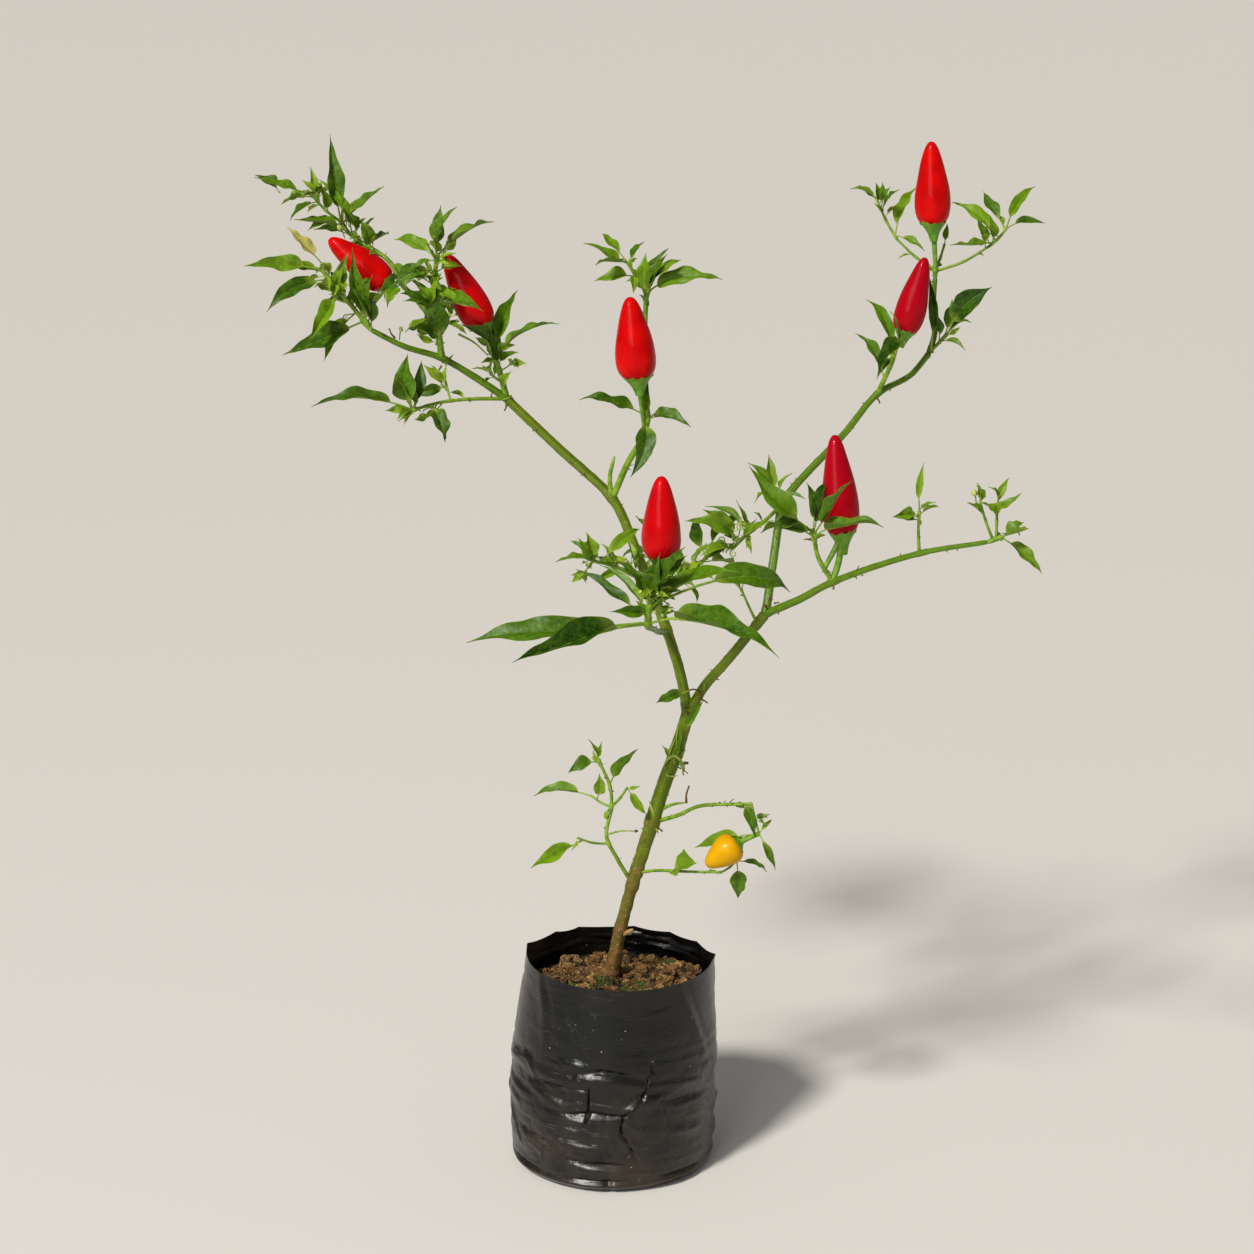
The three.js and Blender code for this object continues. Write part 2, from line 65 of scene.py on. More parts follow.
# Nursery bag
# A sleeve of thin black polythene film, heat-sealed to a round foot with a doubled lip. The weight of
# the soil pulls the wall taut above and slack below, so that it wrinkles across under the middle, and
# the empty rim stands limp, uneven and a little narrower, creased at both sides where it lay flat.
MM = 0.001
bag_radius = 62.5 * MM
bag_height = 129 * MM
bag_shoulder = 77.4 * MM
foot_rounding = 9 * MM
mouth_narrowing = 6 * MM
mouth_lean = 4.5 * MM
rim_fall = 0.025
film_thickness = 0.35 * MM
bag_sides = 92
bag_ring = 4.8 * MM
foot_inset = 14 * MM
foot_insets = 3
slack_height = 48
slack_reach = 42
guessed_folds = 64

# Where the rim is creased, in degrees from the right. Between the creases it hangs
rim_creases = [4.5, 31, 55, 80, 117, 134, 163]

# The folds that the front shows: how far each stands out in millimetres, its width, and its course as
# distance round from the front and height
front_folds = [
    (1.5, 2.0, [(-36, 81), (-24, 82), (-13, 79)]), (2.4, 2.5, [(-21, 74), (-8, 75), (4, 73), (20, 69)]),
    (-1.3, 1.3, [(-20, 78), (-6, 79), (8, 77)]), (1.0, 3.0, [(-8, 66), (8, 64), (26, 68)]),
    (2.5, 2.8, [(-61, 61), (-46, 58), (-32, 55), (-15, 58)]),
    (-1.7, 1.0, [(-58, 65), (-42, 67), (-27, 66), (-14, 67)]),
    (1.9, 2.4, [(-16, 58), (-3, 56), (8, 56), (26, 60), (44, 64)]),
    (-1.9, 1.3, [(-42, 51), (-26, 50), (-12, 52), (4, 51), (17, 52)]),
    (1.5, 2.8, [(28, 67), (45, 67), (68, 62)]), (1.3, 2.8, [(32, 52), (52, 52), (76, 45)]),
    (0.9, 3.0, [(38, 37), (62, 33)]), (-2.2, 0.7, [(-15, 69), (-15, 57), (-16, 44)]),
    (-2.4, 0.8, [(26, 86), (23, 77), (18, 61), (7, 51), (5, 42), (12, 29), (19, 15)]),
    (-1.7, 0.8, [(12, 29), (6, 21)]), (-1.3, 0.8, [(32, 65), (31, 57), (35, 46), (34, 26)]),
    (-2.0, 1.3, [(22, 85), (26, 75)]), (1.7, 1.2, [(6, 54), (14, 59), (22, 62)]),
    (-1.2, 1.0, [(-35, 112), (-27, 103), (-21, 92), (-16, 81)]),
    (1.7, 1.7, [(-35, 31), (-21, 30), (-5, 29)]), (-1.2, 0.7, [(-37, 34), (-22, 34), (-6, 33)]),
    (-0.9, 0.7, [(-46, 43), (-30, 42), (-17, 44)]), (-0.8, 0.6, [(-14, 36), (5, 36)]),
    (0.9, 1.0, [(-28, 47), (-14, 46)]), (1.7, 2.0, [(-69, 28), (-50, 26), (-35, 23)]),
    (-1.5, 0.8, [(-67, 32), (-48, 30), (-34, 27), (-28, 19)]),
    (0.9, 0.8, [(-69, 21), (-57, 25), (-46, 22), (-47, 16), (-60, 14)]),
    (1.4, 0.9, [(-39, 29), (-30, 24), (-26, 16)]), (1.9, 1.7, [(-26, 17), (-7, 16), (20, 13)]),
    (-1.6, 0.8, [(-29, 21), (-20, 20), (-6, 20), (12, 19)]),
    (1.1, 1.2, [(-85, 40), (-75, 30), (-67, 20)]), (0.7, 1.4, [(-72, 82), (-60, 76), (-52, 66)]),
    (0.6, 1.2, [(-50, 82), (-37, 80), (-28, 74)]), (-0.5, 0.8, [(-19, 116), (-8, 115), (4, 113)]),
    (0.5, 1.0, [(15, 113), (36, 114)]), (0.9, 3.0, [(44, 127), (56, 104), (70, 72)]),
    (0.9, 2.8, [(-62, 126), (-52, 110), (-49, 92)]),
]

# Those of the empty rim at the back, which the front shows from inside, by distance round to the right
rim_folds = [
    (-1.6, 1.4, [(124, 123), (146, 121.5), (168, 123)]),
    (-1.4, 1.3, [(140, 117.5), (158, 117), (180, 118.5)]),
    (1.2, 1.2, [(130, 119.5), (152, 119.5), (174, 120.5)]),
    (-1.4, 1.4, [(180, 124), (198, 122), (216, 123)]), (-1.1, 1.2, [(206, 118), (222, 119), (244, 117)]),
    (1.2, 1.2, [(150, 125.5), (172, 125), (196, 126)]),
]

dice = np.random.default_rng(4054)


def other_folds(count):
    """Folds for the sides and the back: most are slack and across, and some are short sharp cracks."""
    folds = []
    for _ in range(count):
        start = dice.uniform(84, 306)
        height = dice.choice([dice.normal(66, 11), dice.uniform(12, 40), dice.uniform(14, 104)])
        if dice.random() < 0.3:
            run, rise, bow = dice.uniform(-7, 7), -dice.uniform(8, 24), dice.uniform(-3, 3)
            depth, width = -dice.uniform(0.8, 2), dice.uniform(0.7, 1.1)
        else:
            run, rise, bow = dice.uniform(16, 44), dice.uniform(-5, 5), dice.uniform(-3, 3)
            depth, width = dice.choice([1, 1, -0.6]) * dice.uniform(0.8, 2.2), dice.uniform(1.4, 2.9)
        middle = (start + run / 2 + bow * 0.5, height + rise / 2 + bow)
        folds.append((depth, width, [(start, height), middle, (start + run, height + rise)]))
    return folds


def fold_relief(round_from_front, height, folds):
    """How far the film stands out at each point, in millimetres. A fold dies away to its ends, drops
    short on its upper side to a faint groove and runs out long on its lower side."""
    relief = np.zeros_like(height)
    for depth, width, course in folds:
        nearest, above, travel = np.full_like(height, 1e9), np.zeros_like(height), np.zeros_like(height)
        for i, ((x0, y0), (x1, y1)) in enumerate(zip(course, course[1:])):
            run, rise = x1 - x0, y1 - y0
            share = ((round_from_front - x0) * run + (height - y0) * rise) / (run * run + rise * rise)
            share = share.clip(0, 1)
            away = np.hypot(round_from_front - x0 - share * run, height - y0 - share * rise)
            side = (height - y0) * run - (round_from_front - x0) * rise
            closer = away < nearest
            nearest = np.where(closer, away, nearest)
            above = np.where(closer, side > 0, above)
            travel = np.where(closer, (i + share) / (len(course) - 1), travel)
        reach = width * np.where(above > 0, 0.85, 1.7 if depth > 0 else 1)
        form = np.exp(-((nearest / reach) ** 2))
        if depth > 0:
            form -= 0.28 * np.exp(-(((nearest - width * 2.1) / (width * 0.6)) ** 2)) * above
        relief += depth * form * np.sin(np.clip(travel, 0.04, 0.96) * math.pi) ** 0.45
    return relief


def coordinates(piece):
    """The places of a piece's points as rows of x, y and z."""
    places = np.empty(len(piece.data.vertices) * 3)
    piece.data.vertices.foreach_get("co", places)
    return places.reshape(-1, 3)


def reshape(piece, places):
    """Moves a piece's points to new places."""
    piece.data.vertices.foreach_set("co", np.ascontiguousarray(places, dtype=np.float32).ravel())
    piece.data.update()


def apply_modifier(piece, kind, **settings):
    """Adds a modifier with these settings and applies it."""
    bpy.context.view_layer.objects.active = piece
    modifier = piece.modifiers.new(kind.lower(), kind)
    for name, value in settings.items():
        setattr(modifier, name, value)
    bpy.ops.object.modifier_apply(modifier=modifier.name)


def settle(piece, name, slot, *nodes, angle=60):
    """Names a finished piece, smooths it, gives it its body and hides the imported parts of the nodes it
    stands for. The slot is not used.
    """
    piece.name = name
    piece.data.name = name
    bpy.ops.object.select_all(action="DESELECT")
    piece.select_set(True)
    bpy.context.view_layer.objects.active = piece
    bpy.ops.object.shade_smooth_by_angle(angle=math.radians(angle))
    piece.select_set(False)
    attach(piece, "root")
    if nodes:
        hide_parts(*nodes)
    return piece


def bag_wall_radius(height):
    """The radius of the bag's wall before its folds."""
    rise = max(height - bag_shoulder, 0) / (bag_height - bag_shoulder)
    return bag_radius - mouth_narrowing * rise


def draw_out(rings):
    """Extrudes what is selected from the first ring's radius and height to each next one's."""
    for (last_radius, last_height), (radius, height) in zip(rings, rings[1:]):
        grow = radius / last_radius
        bpy.ops.mesh.extrude_region_move(TRANSFORM_OT_translate={"value": (0, 0, height - last_height)})
        bpy.ops.transform.resize(value=(grow, grow, 1))


def turn_outward():
    """Turns all faces outward and leaves edit mode."""
    bpy.ops.mesh.select_all(action="SELECT")
    bpy.ops.mesh.normals_make_consistent(inside=False)
    bpy.ops.object.mode_set(mode="OBJECT")


bag_rings = [(bag_radius - foot_rounding, 0), (57.4 * MM, 0.7 * MM), (60.2 * MM, 2.6 * MM),
             (61.8 * MM, 5.4 * MM), (bag_radius, foot_rounding)]
bag_steps = round((bag_height - foot_rounding) / bag_ring)
for step in range(1, bag_steps + 1):
    ring_height = foot_rounding + (bag_height - foot_rounding) * step / bag_steps
    bag_rings.append((bag_wall_radius(ring_height), ring_height))

bpy.ops.mesh.primitive_circle_add(vertices=bag_sides, radius=bag_radius - foot_rounding, fill_type="NGON")
film_bag = bpy.context.active_object
bpy.ops.object.mode_set(mode="EDIT")
bpy.ops.mesh.select_mode(type="FACE")
for _ in range(foot_insets):
    bpy.ops.mesh.inset(thickness=foot_inset)
bpy.ops.mesh.select_all(action="DESELECT")
bpy.ops.mesh.select_mode(type="EDGE")
bpy.ops.mesh.select_non_manifold()
draw_out(bag_rings)
turn_outward()
apply_modifier(film_bag, "SUBSURF", levels=2, render_levels=2, boundary_smooth="PRESERVE_CORNERS")

film = coordinates(film_bag)
turn = np.arctan2(film[:, 1], film[:, 0])
round_front = np.arctan2(film[:, 0], -film[:, 1]) % (2 * math.pi) * bag_radius / MM
girth = 2 * math.pi * bag_radius / MM
round_front = np.where(round_front > girth / 2, round_front - girth, round_front)
round_back = round_front % girth
high = film[:, 2] / MM
share_up = film[:, 2] / bag_height
relief = fold_relief(round_front, high, front_folds)
relief += fold_relief(round_back, high, other_folds(guessed_folds) + rim_folds)
crumple = np.array([
    noise.noise(Vector((x * 9, y * 9, z * 60 + x * 10))) * 2.3
    + (0.35 - abs(noise.noise(Vector((x * 11, y * 11, z * 112 + x * 12))))) * 1.8
    + (0.3 - abs(noise.noise(Vector((x * 60, y * 60, z * 190))))) * 0.3 for x, y, z in film
])
facets = np.array([noise.voronoi(Vector((x * 68, y * 68, z * 105 + x * 20)))[0][:2] for x, y, z in film])
crumple += (np.minimum(facets[:, 1] - facets[:, 0], 0.3) - 0.15)
slack = 0.16 + 0.8 * np.exp(-(((high - slack_height) / slack_reach) ** 4))
slack += 0.45 * np.clip((high - 104) / 12, 0, 1) * (film[:, 1] > 0)
relief = relief * np.clip(high / 9, 0, 1) + crumple * slack * np.clip(high / 12, 0, 1)
lip = 1.1 * np.exp(-(((high - 5.2) / 1.3) ** 2)) - 1.0 * np.exp(-(((high - 8.2) / 1.1) ** 2))
relief += lip * (1 + 0.4 * np.sin(turn * 7 + 1))
relief -= 1.8 * np.exp(-(((round_front + 2) / 2.2) ** 2) - ((high - 7) / 3.5) ** 2)
relief = np.where(film[:, 2] < 0.6 * MM, 0, relief)
creases = np.radians(rim_creases)
beside = np.searchsorted(creases, turn).clip(1, len(creases) - 1)
way_on = ((turn - creases[beside - 1]) / (creases[beside] - creases[beside - 1])).clip(0, 1)
hang = np.sin(way_on * math.pi) ** 0.8
limp = np.clip((share_up - 0.7) / 0.3, 0, 1) ** 1.5
relief += limp * (0.5 * np.sin(turn * 3 + 0.6) - 1.3 * hang * np.clip(share_up * 3 - 2, 0, 1))
corner = sum(np.exp(-abs(np.angle(np.exp(1j * (turn - at)))) / 0.13) for at in (creases[0], creases[-1]))
out_there = 1 + 0.05 * share_up**2.5 * corner
film[:, 0] += np.cos(turn) * relief * MM
film[:, 1] += np.sin(turn) * relief * MM
film[:, 0] = film[:, 0] * out_there + mouth_lean * share_up**2
film[:, 1] *= out_there
back_end = np.where(turn > 0, np.exp(-np.clip(creases[-1] - turn, 0, 9) / 0.16) * (turn < creases[-1]), 0)
right_end = np.exp(-abs(turn - creases[0]) / 0.3)
film[:, 2] += limp**2 * (back_end + 1.6 * right_end - 0.9 * hang + 0.2) * MM
film[:, 2] -= rim_fall * film[:, 0] * limp
reshape(film_bag, film)
apply_modifier(film_bag, "SOLIDIFY", thickness=film_thickness, offset=-1, material_offset_rim=1)


class Reading:
    """What a material's node gives. A sum on it adds the Math node that works it out."""

    def __init__(self, finish, socket):
        self.finish = finish
        self.socket = socket

    def __add__(self, other):
        return self.finish.sum("ADD", self, other)

    def __mul__(self, other):
        return self.finish.sum("MULTIPLY", self, other)

    def __sub__(self, other):
        return self.finish.sum("SUBTRACT", self, other)

    def __rsub__(self, other):
        return self.finish.sum("SUBTRACT", other, self)

    def __abs__(self):
        return self.finish.sum("ABSOLUTE", self)

    __radd__ = __add__
    __rmul__ = __mul__

    def wave(self):
        """The sine of it."""
        return self.finish.sum("SINE", self)

    def between(self, low, high):
        """It as a share of the way from low to high, held between 0 and 1."""
        return self.finish.node("MapRange", values={"Value": self, "From Min": low, "From Max": high})


class Finish:
    """A material as it is mixed: what is the same all over is set on its shader at the start."""

    def __init__(self, name, **sockets):
        self.material = bpy.data.materials.new(name)
        self.material.use_nodes = True
        self.tree = self.material.node_tree
        self.shader = self.tree.nodes["Principled BSDF"]
        for socket, value in sockets.items():
            self.feed(socket.replace("_", " "), value)

    def feed(self, name, value):
        """Gives the shader's socket a value, or what varies over the surface."""
        self.fill(self.shader.inputs[name], value)

    def fill(self, socket, value):
        if isinstance(value, Reading):
            self.tree.links.new(value.socket, socket)
        else:
            socket.default_value = value

    def pick(self, sockets, name):
        """The socket of that name, identifier or number."""
        named = [socket for socket in sockets if name in (socket.identifier, socket.name)]
        return named[0] if named else sockets[name]

    def node(self, kind, settings=None, values=None, output=0):
        """Any node: its settings are set first, then the values or links of its sockets."""
        made = self.tree.nodes.new("ShaderNode" + kind)
        for name, value in (settings or {}).items():
            setattr(made, name, value)
        for name, value in (values or {}).items():
            self.fill(self.pick(made.inputs, name), value)
        return Reading(self, self.pick(made.outputs, output))

    def sum(self, operation, *terms):
        return self.node("Math", {"operation": operation}, dict(enumerate(terms)))

    def mix(self, share, one, other):
        """One colour turning to the other as share goes from 0 to 1, each given by its code or mixed."""
        one, other = (colour(shade) if isinstance(shade, str) else shade for shade in (one, other))
        values = {"Factor_Float": share, "A_Color": one, "B_Color": other}
        return self.node("Mix", {"data_type": "RGBA"}, values, "Result_Color")

    def place(self):
        return self.node("TexCoord", output="Object")

    def marked(self, name="mark", output="Fac"):
        """What is marked on the mesh's points under that name."""
        return self.node("Attribute", {"attribute_name": name}, output=output)

    def stretched(self, where, scale, turn=(0, 0, 0)):
        """The places turned and stretched, so that a pattern runs one way."""
        return self.node("Mapping", values={"Vector": where, "Rotation": turn, "Scale": scale})

    def cloud(self, where, scale, detail=3, roughness=0.55):
        """A soft pattern from 0 to 1 with about scale patches to the metre."""
        return self.node("TexNoise", values={
            "Vector": where, "Scale": scale, "Detail": detail, "Roughness": roughness})

    def cells(self, where, scale):
        """The distance from the middles of cells, with about scale of them to the metre."""
        return self.node("TexVoronoi", values={"Vector": where, "Scale": scale})

    def relief(self, height, distance, strength=1):
        """Lifts the surface by height, which runs from 0 to 1, over that distance in metres."""
        values = {"Height": height, "Distance": distance, "Strength": strength}
        self.feed("Normal", self.node("Bump", values=values))


def colour(code, light=1):
    """A colour from its six-digit screen code, as the shader wants it, made lighter or darker by light."""
    parts = [int(code[i:i + 2], 16) / 255 for i in (0, 2, 4)]
    return [((c + 0.055) / 1.055) ** 2.4 * light if c > 0.04 else c / 12.92 * light for c in parts] + [1]


black_film = Finish("black_film", Coat_Weight=0.12, Coat_Roughness=0.24, IOR=1.4)
where = black_film.place()
dusty = black_film.cloud(where, 26, 5, 0.65).between(0.42, 0.75)
grains = black_film.cells(where, 210).between(0.12, 0.04) * black_film.cloud(where, 90, 2).between(0.58, 0.66)
streaks = black_film.cloud(black_film.stretched(where, (60, 60, 700), (0.1, 0.2, 0.1)), 1, 4, 0.6)
scuffs = streaks.between(0.6, 0.8) * black_film.cloud(where, 34, 2).between(0.46, 0.66)
upright = black_film.stretched(where, (420, 420, 40), (0.3, 0.1, 0))
scratches = black_film.cloud(where, 40, 2).between(0.55, 0.7)
scratches *= black_film.cloud(upright, 1, 3).between(0.66, 0.8)
height = black_film.node("SeparateXYZ", values={"Vector": where}, output="Z")
soiled = height.between(0.08, 0.0) * black_film.cloud(where, 48, 4, 0.7).between(0.36, 0.7)
film_shade = black_film.mix(dusty, "040507", "17140f")
film_shade = black_film.mix((scuffs + scratches) * 0.6, film_shade, "686a6c")
film_shade = black_film.mix(soiled * 0.5, film_shade, "50422e")
black_film.feed("Base Color", black_film.mix(grains * 0.9, film_shade, "b09a74"))
black_film.feed("Roughness", 0.28 + dusty * 0.12 + soiled * 0.15 + grains * 0.3)
fine_creases = streaks * 0.5 + black_film.cloud(where, 120, 4, 0.6) * 0.35
black_film.relief(fine_creases + black_film.cloud(where, 560, 2) * 0.15, 1.5 * MM, 0.5)
# The film's cut edge along the rim is painted pale blue-grey: a painted highlight where the light catches it.
highlit_film_edge = Finish("highlit_film_edge", Roughness=0.35)
edge_grain = highlit_film_edge.cloud(highlit_film_edge.place(), 300)
highlit_film_edge.feed("Base Color", highlit_film_edge.mix(edge_grain, "4c5159", "7d838c"))
film_bag.data.materials.append(black_film.material)
film_bag.data.materials.append(highlit_film_edge.material)
settle(film_bag, "film_bag", "film", "grow_bag")

# Potting soil
# Red-brown loam filled in to a finger's width below the rim, watered to crumbs and clods, with a little
# moss where the light falls at the front. Clods are one shape roughened seven ways and strewn.
soil_top = 114.5 * MM
soil_radius = 57.5 * MM
soil_top_radius = 53.2 * MM
soil_sides = 60
soil_base = 2.4 * MM
ring_gap = 3.7 * MM
ring_count = 14
rough_depth = 6 * MM
clod_kind_count = 7
crumb_count = 750
moss_count = 150
strewn_radius = 53.5
strewn_middle = 3
moss_spots = [(-8, -15, 9), (15, -19, 7), (-25, -13, 4), (36, 20, 4)]

soil_rings = [(soil_radius - foot_rounding, soil_base), (soil_radius, 13 * MM), (soil_radius, 44 * MM),
              (soil_radius, 76 * MM), (soil_top_radius, soil_top)]
bpy.ops.mesh.primitive_circle_add(vertices=soil_sides, radius=soil_rings[0][0], fill_type="NGON")
potting_soil = bpy.context.active_object
bpy.ops.object.mode_set(mode="EDIT")
bpy.ops.mesh.select_mode(type="EDGE")
bpy.ops.mesh.select_all(action="SELECT")
bpy.ops.transform.translate(value=(0, 0, soil_base))
draw_out(soil_rings)
bpy.ops.mesh.select_mode(type="FACE")
for _ in range(ring_count):
    bpy.ops.mesh.inset(thickness=ring_gap)
turn_outward()
apply_modifier(potting_soil, "SUBSURF", levels=2, render_levels=2)


def soil_height(x, y):
    """The height of the soil's surface: ridged lumps, and it lies lower behind and at the left."""
    lump = noise.noise(Vector((x * 42, y * 42, 2))) * 3.4
    ridge = (0.3 - abs(noise.noise(Vector((x * 105, y * 105, 1))))) * 7
    rough = noise.noise(Vector((x * 260, y * 260, 1))) * 2.6
    rough += noise.noise(Vector((x * 560, y * 560, 5))) * 1.4
    fall = 3.5 * min(max((-x / MM - 14) / 30, 0), 1) + 5.5 * min(max((y / MM - 4) / 38, 0), 1)
    return soil_top + (lump + ridge + rough - fall) * MM


loam = coordinates(potting_soil)
for point in loam:
    share = min(math.hypot(point[0], point[1]) / soil_top_radius, 1)
    if point[2] > soil_top - rough_depth:
        point[2] += (soil_height(point[0], point[1]) - soil_top) * min(1, (1 - share) * 6 + 0.1)
    point[0] += mouth_lean * share * (point[2] / bag_height) ** 2
reshape(potting_soil, loam)


def earth(name, damp, dry, pale, coarse=240):
    """Soil's finish: damp and dry patches, tops of clods pale as partly drier crumbs and partly a painted
    highlight, and a coarse grain with painted shade in the gaps between crumbs.
    """
    made = Finish(name, Roughness=0.97)
    spot = made.place()
    patches = made.cloud(spot, coarse, 6, 0.7).between(0.35, 0.68)
    crumbs = made.cells(spot, 650)
    shade = made.mix(patches, damp, dry)
    # Pale on the tops of clods, by the height marked on their points: partly drier crumbs, partly a painted
    # highlight where light falls from above.
    shade = made.mix((made.marked() + patches * 0.5).between(0.6, 1.1), shade, pale)
    # The gaps between the crumbs turn near black: painted shade in the crevices.
    made.feed("Base Color", made.mix(crumbs.between(0.15, 0.6) * 0.65, shade, "140b04"))
    made.relief(made.cloud(spot, 900, 4, 0.75) - crumbs * 0.7, 2 * MM, 1)
    return made.material


potting_soil.data.materials.append(earth("damp_loam", "1a0e05", "4e3218", "8f6434"))
settle(potting_soil, "potting_soil", "soil", "soil")


class Heap:
    """Small closed shapes of one kind, heaped up to be joined in one mesh. Each is a row of rings."""

    def __init__(self):
        self.points = []
        self.faces = []
        self.marks = []
        self.count = 0

    def add(self, rings, marks=None, end=None):
        """Rings is rows of points, each row once round. The end closes on a point, or on its middle."""
        rows, sides = rings.shape[:2]
        first = self.count
        pole = first + rows * sides
        end = rings[-1].mean(0) if end is None else end
        self.points.append(np.vstack([rings.reshape(-1, 3), rings[0].mean(0), end]))
        if marks is None:
            marks = np.zeros((rows, sides, 4))
        self.marks.append(np.vstack([marks.reshape(-1, 4), marks[0].mean(0), marks[-1].mean(0)]))
        here = first + np.arange(rows * sides).reshape(rows, sides)
        after = np.roll(here, -1, axis=1)
        quads = np.stack([here[:-1], after[:-1], after[1:], here[1:]], axis=-1).reshape(-1, 4)
        self.faces.extend(quads.tolist())
        self.faces.extend([pole, b, a] for a, b in zip(here[0].tolist(), after[0].tolist()))
        self.faces.extend([pole + 1, a, b] for a, b in zip(here[-1].tolist(), after[-1].tolist()))
        self.count = pole + 2

    def add_copy(self, points, faces, mark=0):
        """A closed shape given by its points and faces."""
        self.points.append(points)
        self.marks.append(np.zeros((len(points), 4)) + np.reshape(mark, (-1, 1)))
        self.faces.extend([[self.count + i for i in face] for face in faces])
        self.count += len(points)

    def piece(self, name, material, slot, *nodes, angle=75):
        """The heap as one mesh, finished and settled."""
        mesh = bpy.data.meshes.new(name)
        mesh.from_pydata(np.vstack(self.points).tolist(), [], self.faces)
        mark = mesh.attributes.new("mark", "FLOAT_COLOR", "POINT")
        mark.data.foreach_set("color", np.vstack(self.marks).astype(np.float32).ravel())
        made = bpy.data.objects.new(name, mesh)
        bpy.context.scene.collection.objects.link(made)
        mesh.materials.append(material)
        return settle(made, name, slot, *nodes, angle=angle)


clod_shapes = []
for shape in range(clod_kind_count):
    bpy.ops.mesh.primitive_ico_sphere_add(subdivisions=2, radius=1)
    clod = bpy.context.active_object
    rough = coordinates(clod)
    for point in rough:
        push = noise.noise(Vector(point) * 1.3 + Vector((shape * 7, 0, 0))) * 0.9
        edge = 0.3 - abs(noise.noise(Vector(point) * 2.1 + Vector((0, shape * 5, 0))))
        point *= 1 + push + edge * 1.9
        if shape > 3:
            point[2] = point[2] * 0.45 + 0.6 * point[0] ** 2 - 0.25
    clod_shapes.append((rough, [list(face.vertices) for face in clod.data.polygons]))
    bpy.data.objects.remove(clod)


def strew(heap, count, smallest, largest, near=None):
    """Strews clods over the soil, or about one spot of it."""
    for _ in range(count):
        if near:
            x, y = dice.normal(near[0], near[2] * 0.45), dice.normal(near[1], near[2] * 0.45)
        else:
            out, way = strewn_radius * math.sqrt(dice.random()), dice.uniform(0, 2 * math.pi)
            x, y = out * math.cos(way) + strewn_middle, out * math.sin(way)
        size = smallest + (largest - smallest) * dice.random() ** 3
        if math.hypot(x - strewn_middle, y) > strewn_radius - size:
            continue
        points, faces = clod_shapes[dice.integers(clod_kind_count)]
        spin = Matrix.Rotation(dice.uniform(0, 6.28), 3, "Z")
        spin = spin @ Matrix.Rotation(dice.uniform(0, 6.28), 3, "X")
        scale = np.array([1, dice.uniform(0.5, 0.9), dice.uniform(0.4, 0.7)]) * size * MM
        spot = np.array([x * MM, y * MM, soil_height(x * MM, y * MM) + size * (0.7 if near else 0.2) * MM])
        placed = (points * scale) @ np.array(spin)
        # Each point is marked with its height on its clod; the soil finish paints the tops pale with it,
        # partly as drier crumbs and partly as a painted highlight.
        heap.add_copy(placed + spot, faces, (placed[:, 2] / (size * MM) + 1) / 2)


# The third colour of each clod kind is the pale of its tops: partly drier crumbs, partly a painted highlight.
clod_kinds = [("dark_clods", 0.7, 5, earth("dark_loam", "241406", "643e1a", "b08044", 300)),
              ("pale_clods", 0.6, 3.9, earth("dry_loam", "462a12", "8c5a28", "dcae66", 330))]
for name, smallest, largest, finish in clod_kinds:
    clods = Heap()
    strew(clods, crumb_count, smallest, largest)
    clods.piece(name, finish, "soil", angle=40)
moss = Heap()
for spot in moss_spots:
    strew(moss, moss_count, 0.9, 2.3, spot)
moss_green = Finish("moss_green", Roughness=0.95)
tufts = moss_green.cloud(moss_green.place(), 700, 4).between(0.3, 0.7)
moss_green.feed("Base Color", moss_green.mix(tufts, "222c0a", "4e6218"))
moss_green.relief(tufts, 0.8 * MM)
moss.piece("moss", moss_green.material, "soil")

# Trunk and boughs
# The woody main stem leans and forks low, and each fork forks again. Near the soil it is brown and
# corky with pale pores, and turns to green, ridged, half-woody stems higher up, with a swollen joint
# and a scar wherever a limb or leaf stands or stood.
main_fork = (47, -4, 290)
left_knee = (1, 30, 410)
left_fork = (-63, 52, 466)
outer_node = (-101, 42, 492)
right_fork = (91, -14, 349)
elbow = (101, 20, 407)
upper_node = (161, 60, 468)
upper_tip = (193, 72, 491)
fruit_node = (128, -40, 374)
bud_node = (174, -72, 398)
flare_radius = 1.2 * MM
flare_height = 8 * MM
limb_sides = 28
limb_ring = 1.1 * MM
joint_reach = 4 * MM
blunt_end = (1, 0.9, 0.55)
trunk_scar_gap = 13
bough_scar_gap = 11

